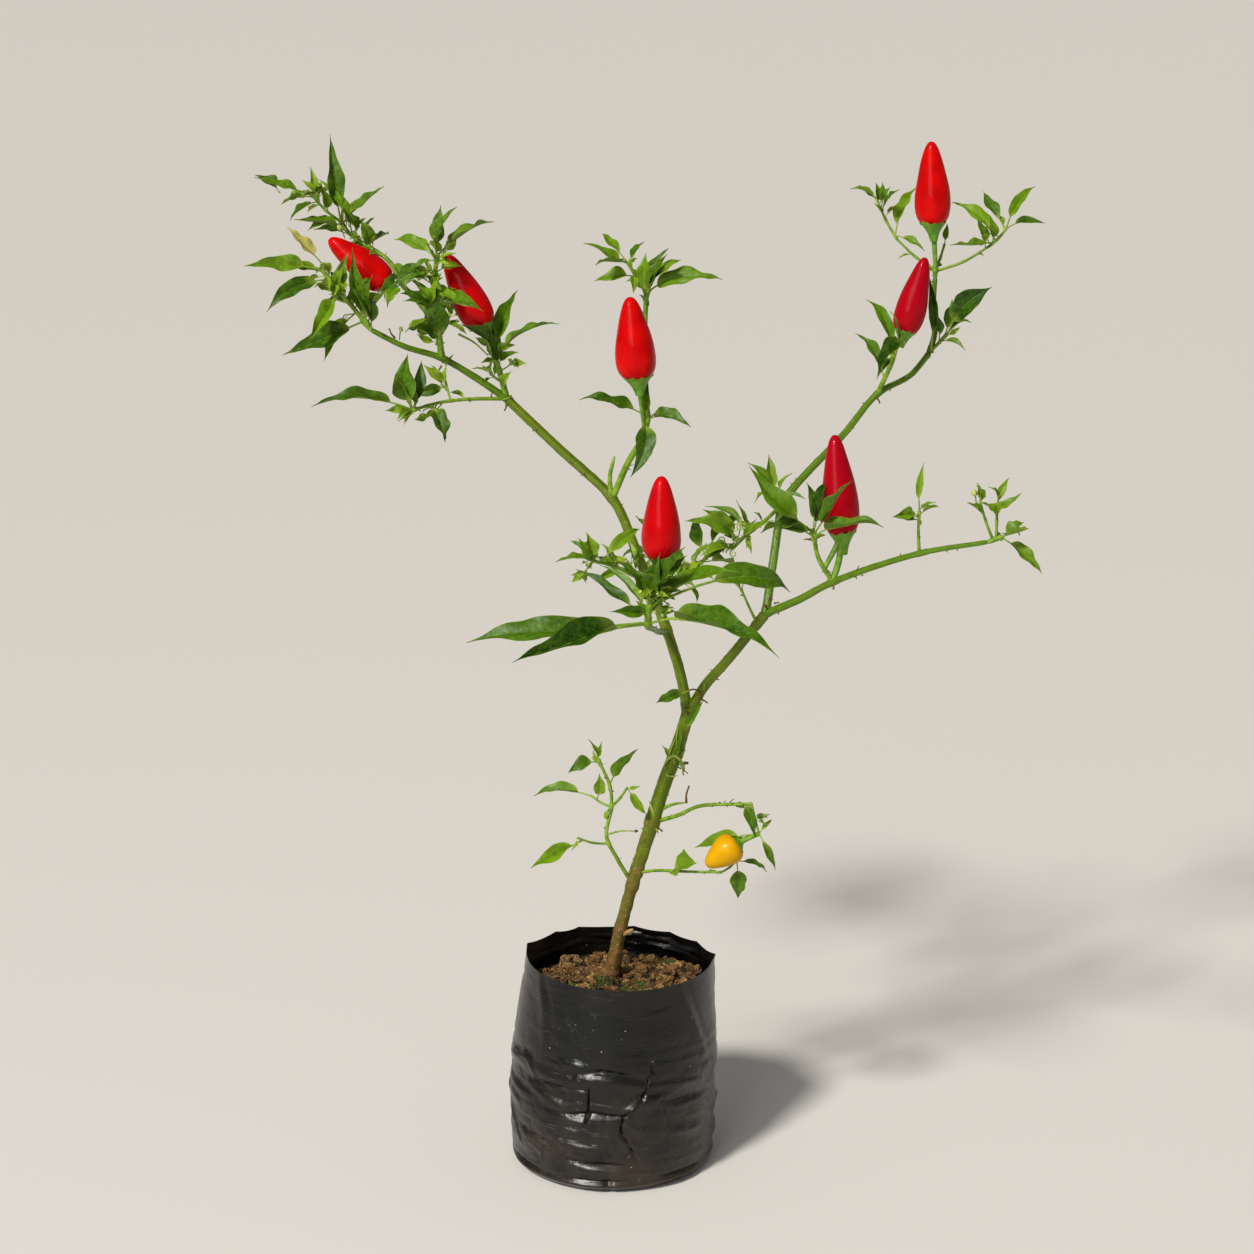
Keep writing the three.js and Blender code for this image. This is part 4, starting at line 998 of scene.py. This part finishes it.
def grow_leaf(blades, ribs, root, heading, toward, length, width, roll, fine=True, bend=None, stalk=None):
    """A leaf from its root: a thin stalk that runs on as the midrib, and a blade that is folded up along
    it, quilted between the side veins, wavy at its uneven edge and bent down toward its drawn-out tip."""
    length *= MM
    width *= MM
    along = aim(heading, toward)
    up = np.array([0, -leaf_facing, 1])
    up = up - up.dot(along) * along
    up = turned(up / np.linalg.norm(up), along, roll)
    chance_arch = finer(0.6, 1.8)
    arch = math.radians(leaf_arch * (bend or chance_arch))
    late = finer(1.0, 1.7)
    fold = math.radians(finer(30, 58))
    droop = finer(0.05, 0.4)
    twist = math.radians(finer(-40, 40)) * (0.3 if bend else 1)
    sickle = finer(-0.1, 0.1) * length
    ripple = finer(0.012, 0.035) * length
    wave_size, wave_count = finer(0.05, 0.15) * width, finer(1.3, 2.8)
    phases = finer(0, 6.28), finer(0, 6.28)
    chance = finer(0, 1)
    chance_stalk = stalk_share * finer(0.95, 1.45)
    stalk = stalk or chance_stalk
    rows = max(8, min(48, round(length / (1.9 * MM)))) if fine else 5
    fine_share = np.linspace(0, 1, 81)
    slope = arch / 2 - arch * fine_share**late
    reach = np.append(0, np.cumsum(np.cos(slope[:-1])))
    climb = np.append(0, np.cumsum(np.sin(slope[:-1])))
    tilt = math.atan2(climb[-1], reach[-1])
    scale = length / math.hypot(climb[-1], reach[-1])
    spine_reach = (reach * math.cos(tilt) + climb * math.sin(tilt)) * scale
    spine_climb = (climb * math.cos(tilt) - reach * math.sin(tilt)) * scale
    side = np.cross(along, up)

    def spine(share):
        climbed = np.interp(share, fine_share, spine_climb) + ripple * share * np.sin(share * 8 + phases[0])
        moves = np.interp(share, fine_share, spine_reach), climbed, sickle * np.sin(share * math.pi)
        return root + np.stack(moves, axis=1) @ np.array([along, up, side])

    whole = np.linspace(stalk, 1, rows + 1)[:-1]
    if fine:
        whole = np.append(whole, 1 - 0.35 * (1 - stalk) / rows)
    share = ((whole - stalk) / (1 - stalk))[:, None]
    angle = (np.interp(whole, fine_share, slope) - tilt)[:, None]
    above = np.cos(angle) * up - np.sin(angle) * along
    across = np.cos(twist * share) * side + np.sin(twist * share) * above
    above = np.cos(twist * share) * above - np.sin(twist * share) * side
    half = np.maximum(width * 0.54 / 0.2646 * (share + 0.012) ** 0.66 * (1 - share) ** 1.5, 0.2 * MM)
    x = fine_across if fine else plain_across
    folded = fold * (1.2 - 0.4 * np.sin(share * math.pi))
    uneven = np.where(x < 0, np.sin(share * 8 + phases[1]), np.sin(share * 9 + phases[0]))
    flat = half * x * (1 + 0.12 * uneven * x**2) * np.cos(folded)
    lift = half * (np.abs(x) * np.sin(folded) - droop * x**2 * 0.6)
    calm = np.sin(np.clip(share * 1.1, 0, 1) * math.pi) ** 0.5
    waves = [np.sin(share * wave_count * 6.28 + phase) for phase in phases]
    lift += wave_size * calm * x**2 * np.where(x < 0, *waves)
    if fine:
        veins = np.abs(np.sin(math.pi * (7 * share - 2.1 * np.abs(x))))
        lift += half * 0.1 * (veins**0.6 - 0.6) * (np.abs(x) > 0.05) * (1 - x**4)
        frill = np.sin(share * 34 + phases[0] * 3) * 0.5 + np.sin(share * 21 + phases[1] * 2) * 0.5
        flat *= 1 + 0.04 * frill * calm * x**4
    top = spine(whole)[:, None] + flat[..., None] * across[:, None] + lift[..., None] * above[:, None]
    thick = (0.34 if fine else 0.28) * MM * (1 - x**6)
    under = (top - thick[:, None] * above[:, None])[:, -2:0:-1]
    edge = np.concatenate([np.abs(x), np.abs(x)[-2:0:-1]])
    below = np.repeat([0, 1], [len(x), len(x) - 2])
    marks = np.stack(np.broadcast_arrays(edge, share, chance, below), axis=-1)
    blades.add(np.concatenate([top, under], axis=1), marks, end=spine(np.array([1.0]))[0])
    rib_share = np.append(np.linspace(0, stalk, 5), np.linspace(stalk, 0.92, max(4, rows // 2))[1:])
    thin = np.interp(rib_share, [0, stalk * 0.4, stalk, 1], [0.66, 0.46, 0.42, 0.12])
    thin *= (0.5 + length / MM / 70) * MM
    rib = spine(rib_share) - np.where(rib_share > stalk * 1.02, thin * 0.85, 0)[:, None] * up
    tube(ribs, rib, np.minimum(thin, 0.8 * MM), 6 if fine else 5, mark=chance)


def grow_rod(heap, course, shares, radii, rings, sides, ridge=0.0):
    """A rod along a course in millimetres, which has these radii at these shares of its way."""
    tube(heap, Line(course).row(rings), np.interp(np.linspace(0, 1, rings), shares, radii) * MM, sides, ridge)


def sagging(root, end, sag):
    """A twig's line, which sags a little at its middle."""
    middle = (root + end) / 2 - np.array([0, 0, sag])
    return Line([root / MM, middle / MM, end / MM])


def grow_twig(heap, line, start, end, sides=8, joints=()):
    """A green twig along its line, ridged, with a swollen joint at each share that is given."""
    rings = max(5, round(line.length / (2.2 * MM)))
    shares = np.linspace(0, 1, rings)
    radii = start + (end - start) * shares
    for joint in joints:
        radii *= 1 + 0.28 * np.exp(-(((shares - joint) * line.length / (1.6 * MM)) ** 2))
    tube(heap, line.row(rings), radii, sides, ridge=0.07)


leaf_heaps = {shade: Heap() for shade in ("dark", "green", "fresh", "new", "withered")}
twig_heap, rib_heap, new_rib_heap, strand_heap, cork_heap = Heap(), Heap(), Heap(), Heap(), Heap()
hook_heap, dried_heap, bud_heap, stalk_heap = Heap(), Heap(), Heap(), Heap()
fruits_at = []


def grow_bud(root, heading, toward, length, size):
    """A nodding stalk and the closed flower bud on its end."""
    end = root + aim(heading, toward) * length * MM
    line = Line([root / MM, (root * 0.4 + end * 0.6) / MM + (0, 0, length * 0.15), end / MM])
    grow_twig(twig_heap, line, 0.32 * MM, 0.42 * MM, 6)
    steps = np.array([0, 0.2, 0.45, 0.7, 0.9]) * size * MM
    widths = np.array([0.35, 0.62, 0.6, 0.42, 0.2]) * size * 0.62 * MM
    tube(bud_heap, end + line.lean(1) * steps[:, None], widths, 8, ridge=0.08)


def heading_of(way):
    """The heading of a direction, in degrees."""
    return math.degrees(math.atan2(way[2], way[0]))


def grow_shoot(root, way, reach):
    """A side shoot as fine as the plant's smallest: a short twig with a tuft of tiny leaves, and
    sometimes a bud."""
    heading = heading_of(way) + finer(-75, 75)
    toward = finer(-60, 50)
    end = root + aim(heading, toward) * reach * MM
    grow_twig(twig_heap, sagging(root, end, reach * 0.05 * MM), 0.5 * MM, 0.36 * MM, 6)
    for _ in range(3):
        size = finer(8, 15)
        grow_leaf(leaf_heaps["new"], new_rib_heap, end, heading + finer(-80, 80), toward + finer(-45, 45),
                  size, size * finer(0.3, 0.42), finer(-50, 50), fine=False)
    if finer(0, 1) < 0.4:
        grow_bud(end, heading + finer(-50, 50), toward + finer(-20, 40), finer(4, 7), finer(2.4, 3.4))


for name, sprig in sprigs.items():
    tip = sprig["radius"] * 0.7
    shade = sprig.get("shade", "fresh")
    airy = sprig.get("airy", False)
    lines_here = [Line(sprig["stem"])]
    twig_rows = sprig.get("twigs", [])
    joints = [row[1] for row in twig_rows + sprig["leaves"] if row[0] == 0]
    grow_twig(twig_heap, lines_here[0], sprig["radius"] * MM, tip * MM, 10, joints)
    for on, share, heading, toward, length in twig_rows:
        root = lines_here[on].at(share)
        end = root + aim(heading, toward) * length * MM
        lines_here.append(sagging(root, end, length * 0.06 * MM))
        grow_twig(twig_heap, lines_here[-1], tip * 0.9 * MM, tip * 0.65 * MM, 8, (0.5, 0.97))
    for on, share, heading, toward, length, *chosen in sprig["leaves"]:
        breadth, bend, stalk = (*chosen, *(leaf_width, None, None)[len(chosen):])
        width = length * breadth * between(0.9, 1.1)
        grow_leaf(leaf_heaps["fresh" if length < small_leaf else shade], rib_heap, lines_here[on].at(share),
                  heading, toward, length, width, between(-22, 22), bend=bend, stalk=stalk)
    for on, share, heading, toward, stalk, *fruit_way, length, width in sprig.get("fruits", []):
        root = lines_here[on].at(share)
        base = root + aim(heading, toward) * stalk * MM
        way = aim(*fruit_way)
        end = base / MM + way
        grow_rod(stalk_heap, [root / MM, (root * 0.45 + base * 0.55) / MM, end], [0, 0.15, 0.7, 1],
                 [1.5, 1.3, 1.55, 2.1], 14, 12, 0.08)
        if name == "right_fruit_sprig":
            # This fruit also has a thick stalk that stands on the bough's own node
            node = np.array(fruit_node)
            course = [node + (0, 0, 1), node * 0.55 + base / MM * 0.45 + (1, 0, 0), end]
            grow_rod(stalk_heap, course, [0, 0.1, 0.8, 1], [2.3, 1.8, 1.8, 2.1], 20, 12, 0.06)
        fruits_at.append((name, base, way, length * MM, width * MM))
    for i in range(sprig["young"]):
        line = lines_here[i % len(lines_here)]
        root = line.at(between(0.5, 1))
        heading = heading_of(line.lean(1)) + between(-80, 80)
        length = young_leaf * between(0.7, 1.3) * (airy_share if airy else 1)
        grow_leaf(leaf_heaps["new"], new_rib_heap, root, heading, between(-75, 55), length * 1.2,
                  length * 0.4, between(-40, 40))
    for on, share, heading, toward, length, breadth in sprig.get("more", []):
        grow_leaf(leaf_heaps["fresh" if length < small_leaf else shade], rib_heap, lines_here[on].at(share),
                  heading, toward, length, length * breadth, finer(-16, 16))
    for i in range(sprig["young"] // (3 if airy else 1)):
        line = lines_here[i % len(lines_here)]
        share = finer(0.15, 1)
        heading = heading_of(line.lean(share)) + finer(-95, 95)
        length = finer(9, 15) if airy else finer(12, 23)
        grow_leaf(leaf_heaps["fresh" if length > 17 else "new"], rib_heap, line.at(share), heading,
                  finer(-60, 50), length, length * finer(0.3, 0.42), finer(-40, 40))
    for i in range(0 if airy else 2 + round(sprig["young"] * 0.8)):
        line = lines_here[i % len(lines_here)]
        share = finer(0.3, 1)
        grow_shoot(line.at(share), line.lean(share), finer(3, 8))


def grow_stub(heap, root, heading, toward, length, radius, knob=0.8):
    """A short stiff remnant: the stub of a twig or stalk, or a thorn-like bract."""
    end = root + aim(heading, toward) * length
    middle = (root + end) / 2 + aim(heading + 90, toward) * length * 0.07
    radii = np.array([1, 0.7, 0.6, knob]) * radius
    grow_rod(heap, [root, middle, end], [0, 0.5, 0.85, 1], radii, 8, 8)


def speckle(line, radii, spacing):
    """Tiny dried bracts and leaf scars along a stem, one to each spacing in millimetres."""
    for _ in range(round(line.length / MM / spacing)):
        share = finer(0.04, 0.97)
        side = np.cross(line.lean(share), aim(finer(0, 360), finer(-80, 80)))
        side /= np.linalg.norm(side)
        root = line.at(share) + side * np.interp(share, np.linspace(0, 1, len(radii)), radii) * 0.85 * MM
        end = root + (side + line.lean(share) * finer(-0.7, 0.9)) * finer(0.5, 2) * MM
        size = finer(0.22, 0.5) * MM
        tube(dried_heap, np.array([root, (root + end) / 2, end]), np.array([1, 0.9, 0.5]) * size, 6)


def grow_tendril(root, heading, toward, length, loops, size):
    """A thin stalk that ends in a curl."""
    share = np.linspace(0, 1, 44)[:, None]
    centre = np.array(root) * MM + aim(heading, toward) * length * MM
    turn = share * loops * 6.28
    curl = centre + size * (1 - share * 0.75) * MM * (
        np.cos(turn) * aim(heading - 90, 0) + np.sin(turn) * aim(heading, 0))
    curl[:, 1:2] -= share * size * 0.5 * MM
    lead = np.linspace(np.array(root) * MM, curl[0], 8)[:-1]
    tube(new_rib_heap, np.vstack([lead, curl]), np.linspace(0.42, 0.22, 51) * MM, 6)


# What has dried on the plant, and green stubs: where, heading, toward the viewer, length and radius in
# millimetres
dried_stubs = [
    ((45, -10, 231), 82, 5, 11, 0.8), ((53, -7, 295), -25, 20, 5, 0.7), ((40, -9, 253), -28, 20, 7, 0.45),
    ((44, -8, 255.4), 10, 30, 2, 1.2), ((27, -5, 214), -20, 40, 5, 0.8),
    ((14.2, -14.3, 214.6), 10, 10, 1.4, 1.1), ((93, -17, 358), 70, 40, 4, 0.8),
    ((96, -17, 356), 30, 50, 4, 0.6), ((91, -17, 354), 120, 50, 3, 0.9),
    ((97, -14, 352), -60, 40, 4, 0.6), ((128, -41, 373), -80, 40, 3, 0.9),
    ((140, -49, 379), 75, 20, 8, 0.4), ((160, 58, 466), -60, 20, 4, 0.8),
    ((-101, 38, 488), -130, 30, 5, 0.7), ((-128, 35, 505), 118, 20, 7, 0.7),
    ((-63, 50, 463), -110, 20, 4, 0.8), ((45, -10, 288), 160, 60, 3, 0.8),
]
green_hooks = [
    ((31, -5, 226), 22, 20, 15, 1.3), ((0, 30, 410), 86, 4, 25, 1.9), ((38, -10, 256), 98, 50, 7, 0.9),
    ((41, -10, 256), -72, 30, 8, 0.9), ((35, -8, 254), 200, 30, 4, 0.7), ((42, -8, 260), 60, 20, 5, 0.7),
    ((-2, -12, 212), 9, 8, 17, 0.7), ((26, -6, 215), -60, 30, 5, 0.8), ((55, -9, 302), 80, 40, 5, 0.9),
    ((-91, 45, 506), -35, 10, 22, 0.8), ((-104, 44, 500), 60, 20, 6, 0.9),
    ((-60, 50, 468), 200, 20, 6, 0.9), ((123, -42, 384), 130, 30, 4, 0.6),
]
for row in dried_stubs:
    grow_stub(dried_heap, *row)
for row in green_hooks:
    grow_stub(hook_heap, *row, knob=0.35)
for name, (points, radii, _) in limbs.items():
    speckle(lines[name], radii, trunk_scar_gap if name == "trunk" else bough_scar_gap)
for name, sprig in sprigs.items():
    speckle(Line(sprig["stem"]), (sprig["radius"], sprig["radius"] * 0.7), scar_gap)
tendrils = [
    ((80, 2, 392), 120, 30, 9, 1.4, 2.6), ((74, -4, 388), 95, 20, 12, 1.2, 2.8),
    ((70, -4, 386), 70, 40, 10, 1.5, 2.2), ((84, 5, 396), 140, 20, 8, 1.2, 2.4),
    ((66, -6, 384), 100, 10, 8, 1.1, 2.2), ((74, -2, 389), 250, 30, 7, 1.3, 2),
    ((26, -88, 376), 60, 10, 14, 1.2, 2.4), ((-150, 32, 520), 200, 40, 8, 1.2, 2),
    ((-110, 44, 512), 180, 30, 9, 1.1, 2.2),
]
for row in tendrils:
    grow_tendril(*row)

# Sheaths and strands that lie on the trunk at its joints, thick in the middle and thin at both ends
strands = [
    (0.9, [(31.5, -8.2, 253), (33.5, -9.6, 258), (37.5, -9.9, 260.5), (41, -9.6, 258), (43.6, -8.8, 253),
           (42.9, -9, 249)]),
    (0.7, [(36, -9.7, 258), (39.3, -9.2, 266), (43.4, -8.2, 273)]),
    (0.6, [(40, -9.6, 257), (39, -9.4, 267), (39.5, -8.6, 278)]),
    (0.7, [(33, -8.6, 256), (35, -8.8, 263), (39, -8.4, 272)]),
    (0.9, [(23, -6.6, 231), (24.5, -7.4, 226), (26, -7.6, 221)]),
    (0.6, [(31, -6.5, 249), (35, -9.4, 247.5), (40, -9.6, 248)]),
]
for thick, course in strands:
    grow_rod(strand_heap, course, np.linspace(0, 1, 18), np.sin(np.linspace(0.35, 2.9, 18)) * thick, 18, 8)

# A corky stub low on the trunk, and a dried stalk that arches over at the fork
stub_root, stub_way = np.array([7, -3.5, 144.5]), aim(38, 20) * 8
grow_rod(cork_heap, [stub_root, stub_root + stub_way / 2, stub_root + stub_way], np.linspace(0, 1, 9),
         np.array([0.6, 0.8, 0.95, 1, 0.98, 0.9, 0.8, 0.65, 0.35]) * 1.5, 9, 10, 0.05)
arch = [(54, -9, 296), (53, -10, 300), (49, -11, 302), (45, -11, 301)]
grow_rod(dried_heap, arch, [0, 1], [0.6, 0.45], 14, 8)

# Leaves that stand alone: shade, root, heading, toward, length, breadth in millimetres, roll, bend and
# the stalk's share
single_leaves = [
    ("dark", (46, -11, 301), 200, 5, 21, 9, -10), ("dark", (45, -7.5, 277), 61, 8, 22, 5.5, 20, 0.4, 0.08),
    ("dark", (38, -8, 257), 80, 6, 24, 4.5, -20, 0.3, 0.08),
    ("dark", (175, 46, 501), -134, 36, 30, 14, 10, 1.2, 0.06),
    ("fresh", (116, -46, 405), 134, 4, 55, 16, -12, 0.8),
    ("withered", (-165, 27, 544), 131, 8, 37, 9, 10, 1.2, 0.4),
    ("dark", (80, -33, 238), 285, 20, 21, 7, 20, 0.2, 0.05),
    ("green", (-195, 48, 589), 144, 8, 18, 9, 0, 0.5),
    ("new", (34, -7, 257), 112, 10, 11, 4, 0), ("green", (84, -36, 230), 7, 15, 9, 3.6, 0),
    ("withered", (-156, 60, 568), 70, 10, 12, 5, -40),
]
for shade, root, heading, toward, length, width, roll, *chosen in single_leaves:
    bend, stalk = (*chosen, None, None)[:2]
    ribs = new_rib_heap if length < least_leaf else rib_heap
    grow_leaf(leaf_heaps[shade], ribs, np.array(root) * MM, heading, toward, length, width, roll,
              bend=bend, stalk=stalk)
single_buds = [
    ((-158, 52, 562), 110, 20, 6, 4), ((-126, 42, 503), 80, 20, 6, 3.6), ((23, 16, 460), 45, 20, 5, 4),
    ((202.3, -94.3, 431), 100, 10, 5, 4.4), ((30, -92, 366), 60, 30, 6, 3), ((38, -92, 368), 30, 30, 5, 3),
    ((30, -90, 364), 100, 40, 4, 2.6), ((33, -91, 365), 20, 50, 4, 2.6), ((28, -91, 367), 140, 30, 4, 2.4),
]
for root, heading, toward, length, size in single_buds:
    grow_bud(np.array(root) * MM, heading, toward, length, size)


def leaf_finish(name, dark, light, pale, under):
    """A leaf's skin: glossy and darker above, dull and pale below, with lighter veins and a pale edge that is
    a painted highlight along the margin.
    """
    made = Finish(name, Coat_Weight=0.03, Coat_Roughness=0.25, IOR=1.33)
    mark = made.marked(output="Color")
    edge, along, chance = (made.node("SeparateColor", values={"Color": mark}, output=channel)
                           for channel in ("Red", "Green", "Blue"))
    below = made.marked(output="Alpha")
    where = made.place()
    patches = made.cloud(where, 95, 3)
    mottle = made.cloud(where, 330, 4).between(0.34, 0.66)
    veins = abs((math.pi * (7 * along - 2.1 * edge)).wave())
    veins = (1 - veins).between(0.72, 1) * (1 - edge)
    lightness = (chance * 0.9 + patches * 0.5 + mottle * 0.4 - 0.4).between(0, 1)
    shade = made.mix(lightness, dark, light)
    shade = made.mix(veins * 0.16, shade, pale)
    shade = made.mix((1 - along).between(0.84, 1) * 0.4, shade, pale)
    shade = made.mix(below * 0.8, shade, under)
    # The pale rim along the leaf's edge is a painted highlight.
    made.feed("Base Color", made.mix(edge.between(0.95, 1) * 0.4, shade, pale))
    made.feed("Roughness", 0.38 + below * 0.25 + patches * 0.1)
    made.relief(made.cloud(where, 900, 3) * 0.4 + mottle * 0.6, 0.4 * MM, 0.6)
    return made.material


leaf_shades = {
    "dark": ("1c3c00", "587f06", "a4b545", "5e7a1c"),
    "green": ("2c4e00", "6c900c", "adbd4a", "6a8824"),
    "fresh": ("426802", "729014", "b0c04c", "7c9830"),
    "new": ("567c08", "88a020", "bcc858", "8ca038"),
    "withered": ("8a7c46", "b4b058", "c8c478", "8d8450"),
}

# All sprigs share these heaps, so the green leaves stand for the nodes of all of them
for name, heap in leaf_heaps.items():
    nodes = sprigs if name == "green" else ()
    heap.piece(name + "_leaves", leaf_finish(name + "_leaf", *leaf_shades[name]), "foliage", *nodes)


def green_skin(name, dark, light, gloss=0.45):
    """Smooth green skin for stalks and twigs."""
    made = Finish(name, IOR=1.36)
    patches = made.cloud(made.place(), 220, 3).between(0.3, 0.7)
    made.feed("Base Color", made.mix(patches, dark, light))
    made.feed("Roughness", gloss + patches * 0.12)
    made.relief(made.cloud(made.place(), 800, 2), 0.15 * MM, 0.5)
    return made.material


skins = [
    (twig_heap, "twigs", "twig_green", "507a0a", "8ca82e"),
    (rib_heap, "leaf_stalks", "stalk_green", "668a1c", "94ac3e"),
    (new_rib_heap, "new_leaf_stalks", "new_stalk_green", "80a034", "b2c25c"),
    (strand_heap, "sheaths", "sheath_green", "5c7a12", "a8b84e"),
    (cork_heap, "corky_stubs", "corky_tan", "7a5c30", "bd9c62", 0.7),
    (hook_heap, "green_stubs", "hook_green", "527a0e", "90aa3a"),
    (dried_heap, "dried_stubs", "dried_brown", "3a2810", "7a6030", 0.7),
]
for heap, name, *skin in skins:
    heap.piece(name, green_skin(*skin), "green_stem")
bud_heap.piece("flower_buds", green_skin("bud_green", "86a238", "c2cb7c"), "foliage")

# Fruit
# Seven ripe red chillies and one that is still yellow, each a smooth, waxy, blunt cone. Most stand tip
# up on a stiff green stalk, which widens to a ribbed cup round the fruit's shoulder.
fruit_sides = 28
cup_sides = 30

# Rings up the fruit, and up the cup that holds it: radius and height, as shares of the fruit's own
fruit_profile = [(0.3, 0), (0.58, 0.008), (0.8, 0.055), (0.93, 0.12), (0.99, 0.2), (1, 0.29), (0.96, 0.4),
                 (0.875, 0.51), (0.78, 0.605), (0.685, 0.695), (0.58, 0.785), (0.475, 0.865), (0.36, 0.93),
                 (0.22, 0.98), (0.08, 0.998)]
cup_profile = [(0.2, -0.19), (0.24, -0.15), (0.33, -0.09), (0.46, -0.04), (0.6, 0.005), (0.72, 0.035),
               (0.75, 0.05), (0.72, 0.05), (0.55, 0.02)]

bpy.ops.mesh.primitive_circle_add(vertices=fruit_sides, radius=fruit_profile[0][0], fill_type="NGON")
chilli = bpy.context.active_object
bpy.ops.object.mode_set(mode="EDIT")
bpy.ops.mesh.select_all(action="SELECT")
draw_out(fruit_profile)
turn_outward()
apply_modifier(chilli, "SUBSURF", levels=1, render_levels=1)
chilli_points = coordinates(chilli)
chilli_faces = [list(face.vertices) for face in chilli.data.polygons]
bpy.data.objects.remove(chilli)


def grow_fruit(heap, cup_heap, base, way, length, width, number):
    """One chilli on its base, each a little bent, dented and lobed in its own way, and its cup."""
    spin = np.array(Vector((0, 0, 1)).rotation_difference(Vector(way)).to_matrix())
    points = chilli_points.copy()
    angle = np.arctan2(points[:, 1], points[:, 0])
    height = points[:, 2]
    lobes = 1 + 0.022 * np.cos(3 * angle + number * 1.7) * (1 - height) + 0.012 * np.cos(2 * angle + number)
    apart = Vector((number * 9, 0, 0))
    dents = np.array([noise.noise(Vector((x, y, z * 2.2)) * 1.3 + apart) for x, y, z in points])
    plump = lobes * (1 + 0.05 * dents)
    points[:, :2] *= (plump * width / 2)[:, None]
    points[:, 2] *= length
    bend = 0.045 * length * np.sin(height * math.pi / 2) ** 2
    points[:, 0] += bend * math.cos(number * 2.4)
    points[:, 1] += bend * math.sin(number * 2.4)
    heap.add_copy(points @ spin.T + base, chilli_faces, number)
    turn = np.linspace(0, 2 * math.pi, cup_sides, endpoint=False)
    rings = []
    for ring_radius, ring_height in cup_profile:
        rib = 1 + 0.04 * np.cos(turn * 10) * min(ring_radius * 1.4, 1)
        tooth = 0.018 * np.cos(turn * 5 + number) * (ring_radius > 0.7)
        radius = ring_radius * rib * width / 2
        ring = [radius * np.cos(turn), radius * np.sin(turn), (ring_height + tooth) * length]
        rings.append(np.stack(ring, axis=1))
    cup_heap.add(np.array(rings) @ spin.T + base)


# The mark on a fruit's points says how far it has ripened
red_fruit, yellow_fruit, cups = Heap(), Heap(), Heap()
for number, (name, base, way, length, width) in enumerate(fruits_at):
    heap = yellow_fruit if name == "low_right_shoot" else red_fruit
    grow_fruit(heap, cups, base, way, length, width, number)
    heap.marks[-1][:] = 0.9 if name in ("right_fruit_sprig", "upper_right_sprig") else 0.3 * (number % 2)


def waxy_skin(name, deep, bright, ripest):
    """A ripe fruit's skin: waxy, even and very glossy."""
    made = Finish(name, Coat_Weight=0.12, Coat_Roughness=0.06, Specular_IOR_Level=0.05)
    where = made.place()
    patches = made.cloud(where, 60, 2).between(0.3, 0.7)
    skin = made.mix(patches, deep, bright)
    made.feed("Base Color", made.mix(made.marked(), skin, ripest))
    made.feed("Roughness", 0.3 + patches * 0.08)
    made.relief(made.cloud(where, 140, 2), 0.5 * MM, 0.25)
    return made.material


red_fruit.piece("red_chillies", waxy_skin("ripe_red", "a80002", "d60400", "9c0014"), "foliage")
yellow_fruit.piece("yellow_chilli", waxy_skin("unripe_yellow", "be8600", "d8a408", "be8600"), "foliage")
cups.piece("fruit_cups", green_skin("cup_green", "47801a", "78a22e", 0.38), "foliage")
stalk_heap.piece("fruit_stalks", green_skin("fruit_stalk_green", "4c7e16", "84a634", 0.4), "green_stem")

# Floor and light
# A plain pale floor, one soft lamp high on the left in front, a broad cool softbox beside the viewer
# and an even pale surround.
bpy.ops.mesh.primitive_plane_add(size=120)
floor = bpy.context.active_object
floor.name = "floor"
floor_paint = Finish("floor_paint", Base_Color=colour("d8d5d0"), Roughness=0.9)
floor.data.materials.append(floor_paint.material)
key_data = bpy.data.lights.new("key", "SUN")
key_data.energy = 3.3
key_data.angle = math.radians(9)
key_data.color = (1, 0.96, 0.88)
stand("key", key_data, (0, 0, 0), (math.radians(46), 0, math.radians(-36)))
softbox_data = bpy.data.lights.new("softbox", "AREA")
softbox_data.size = 0.9
softbox_data.energy = 9
softbox_data.color = (0.93, 0.96, 1)
softbox_place = Vector((-0.7, -1.6, 1.1))
stand("softbox", softbox_data, softbox_place,
      (softbox_place - Vector((0, 0, 0.2))).to_track_quat("Z", "Y").to_euler())
surround = bpy.data.worlds.new("surround")
surround.use_nodes = True
sky = surround.node_tree.nodes["Background"].inputs
sky["Color"].default_value = (1, 0.99, 0.97, 1)
sky["Strength"].default_value = 0.24
bpy.context.scene.world = surround
bpy.context.scene.view_settings.view_transform = "Standard"
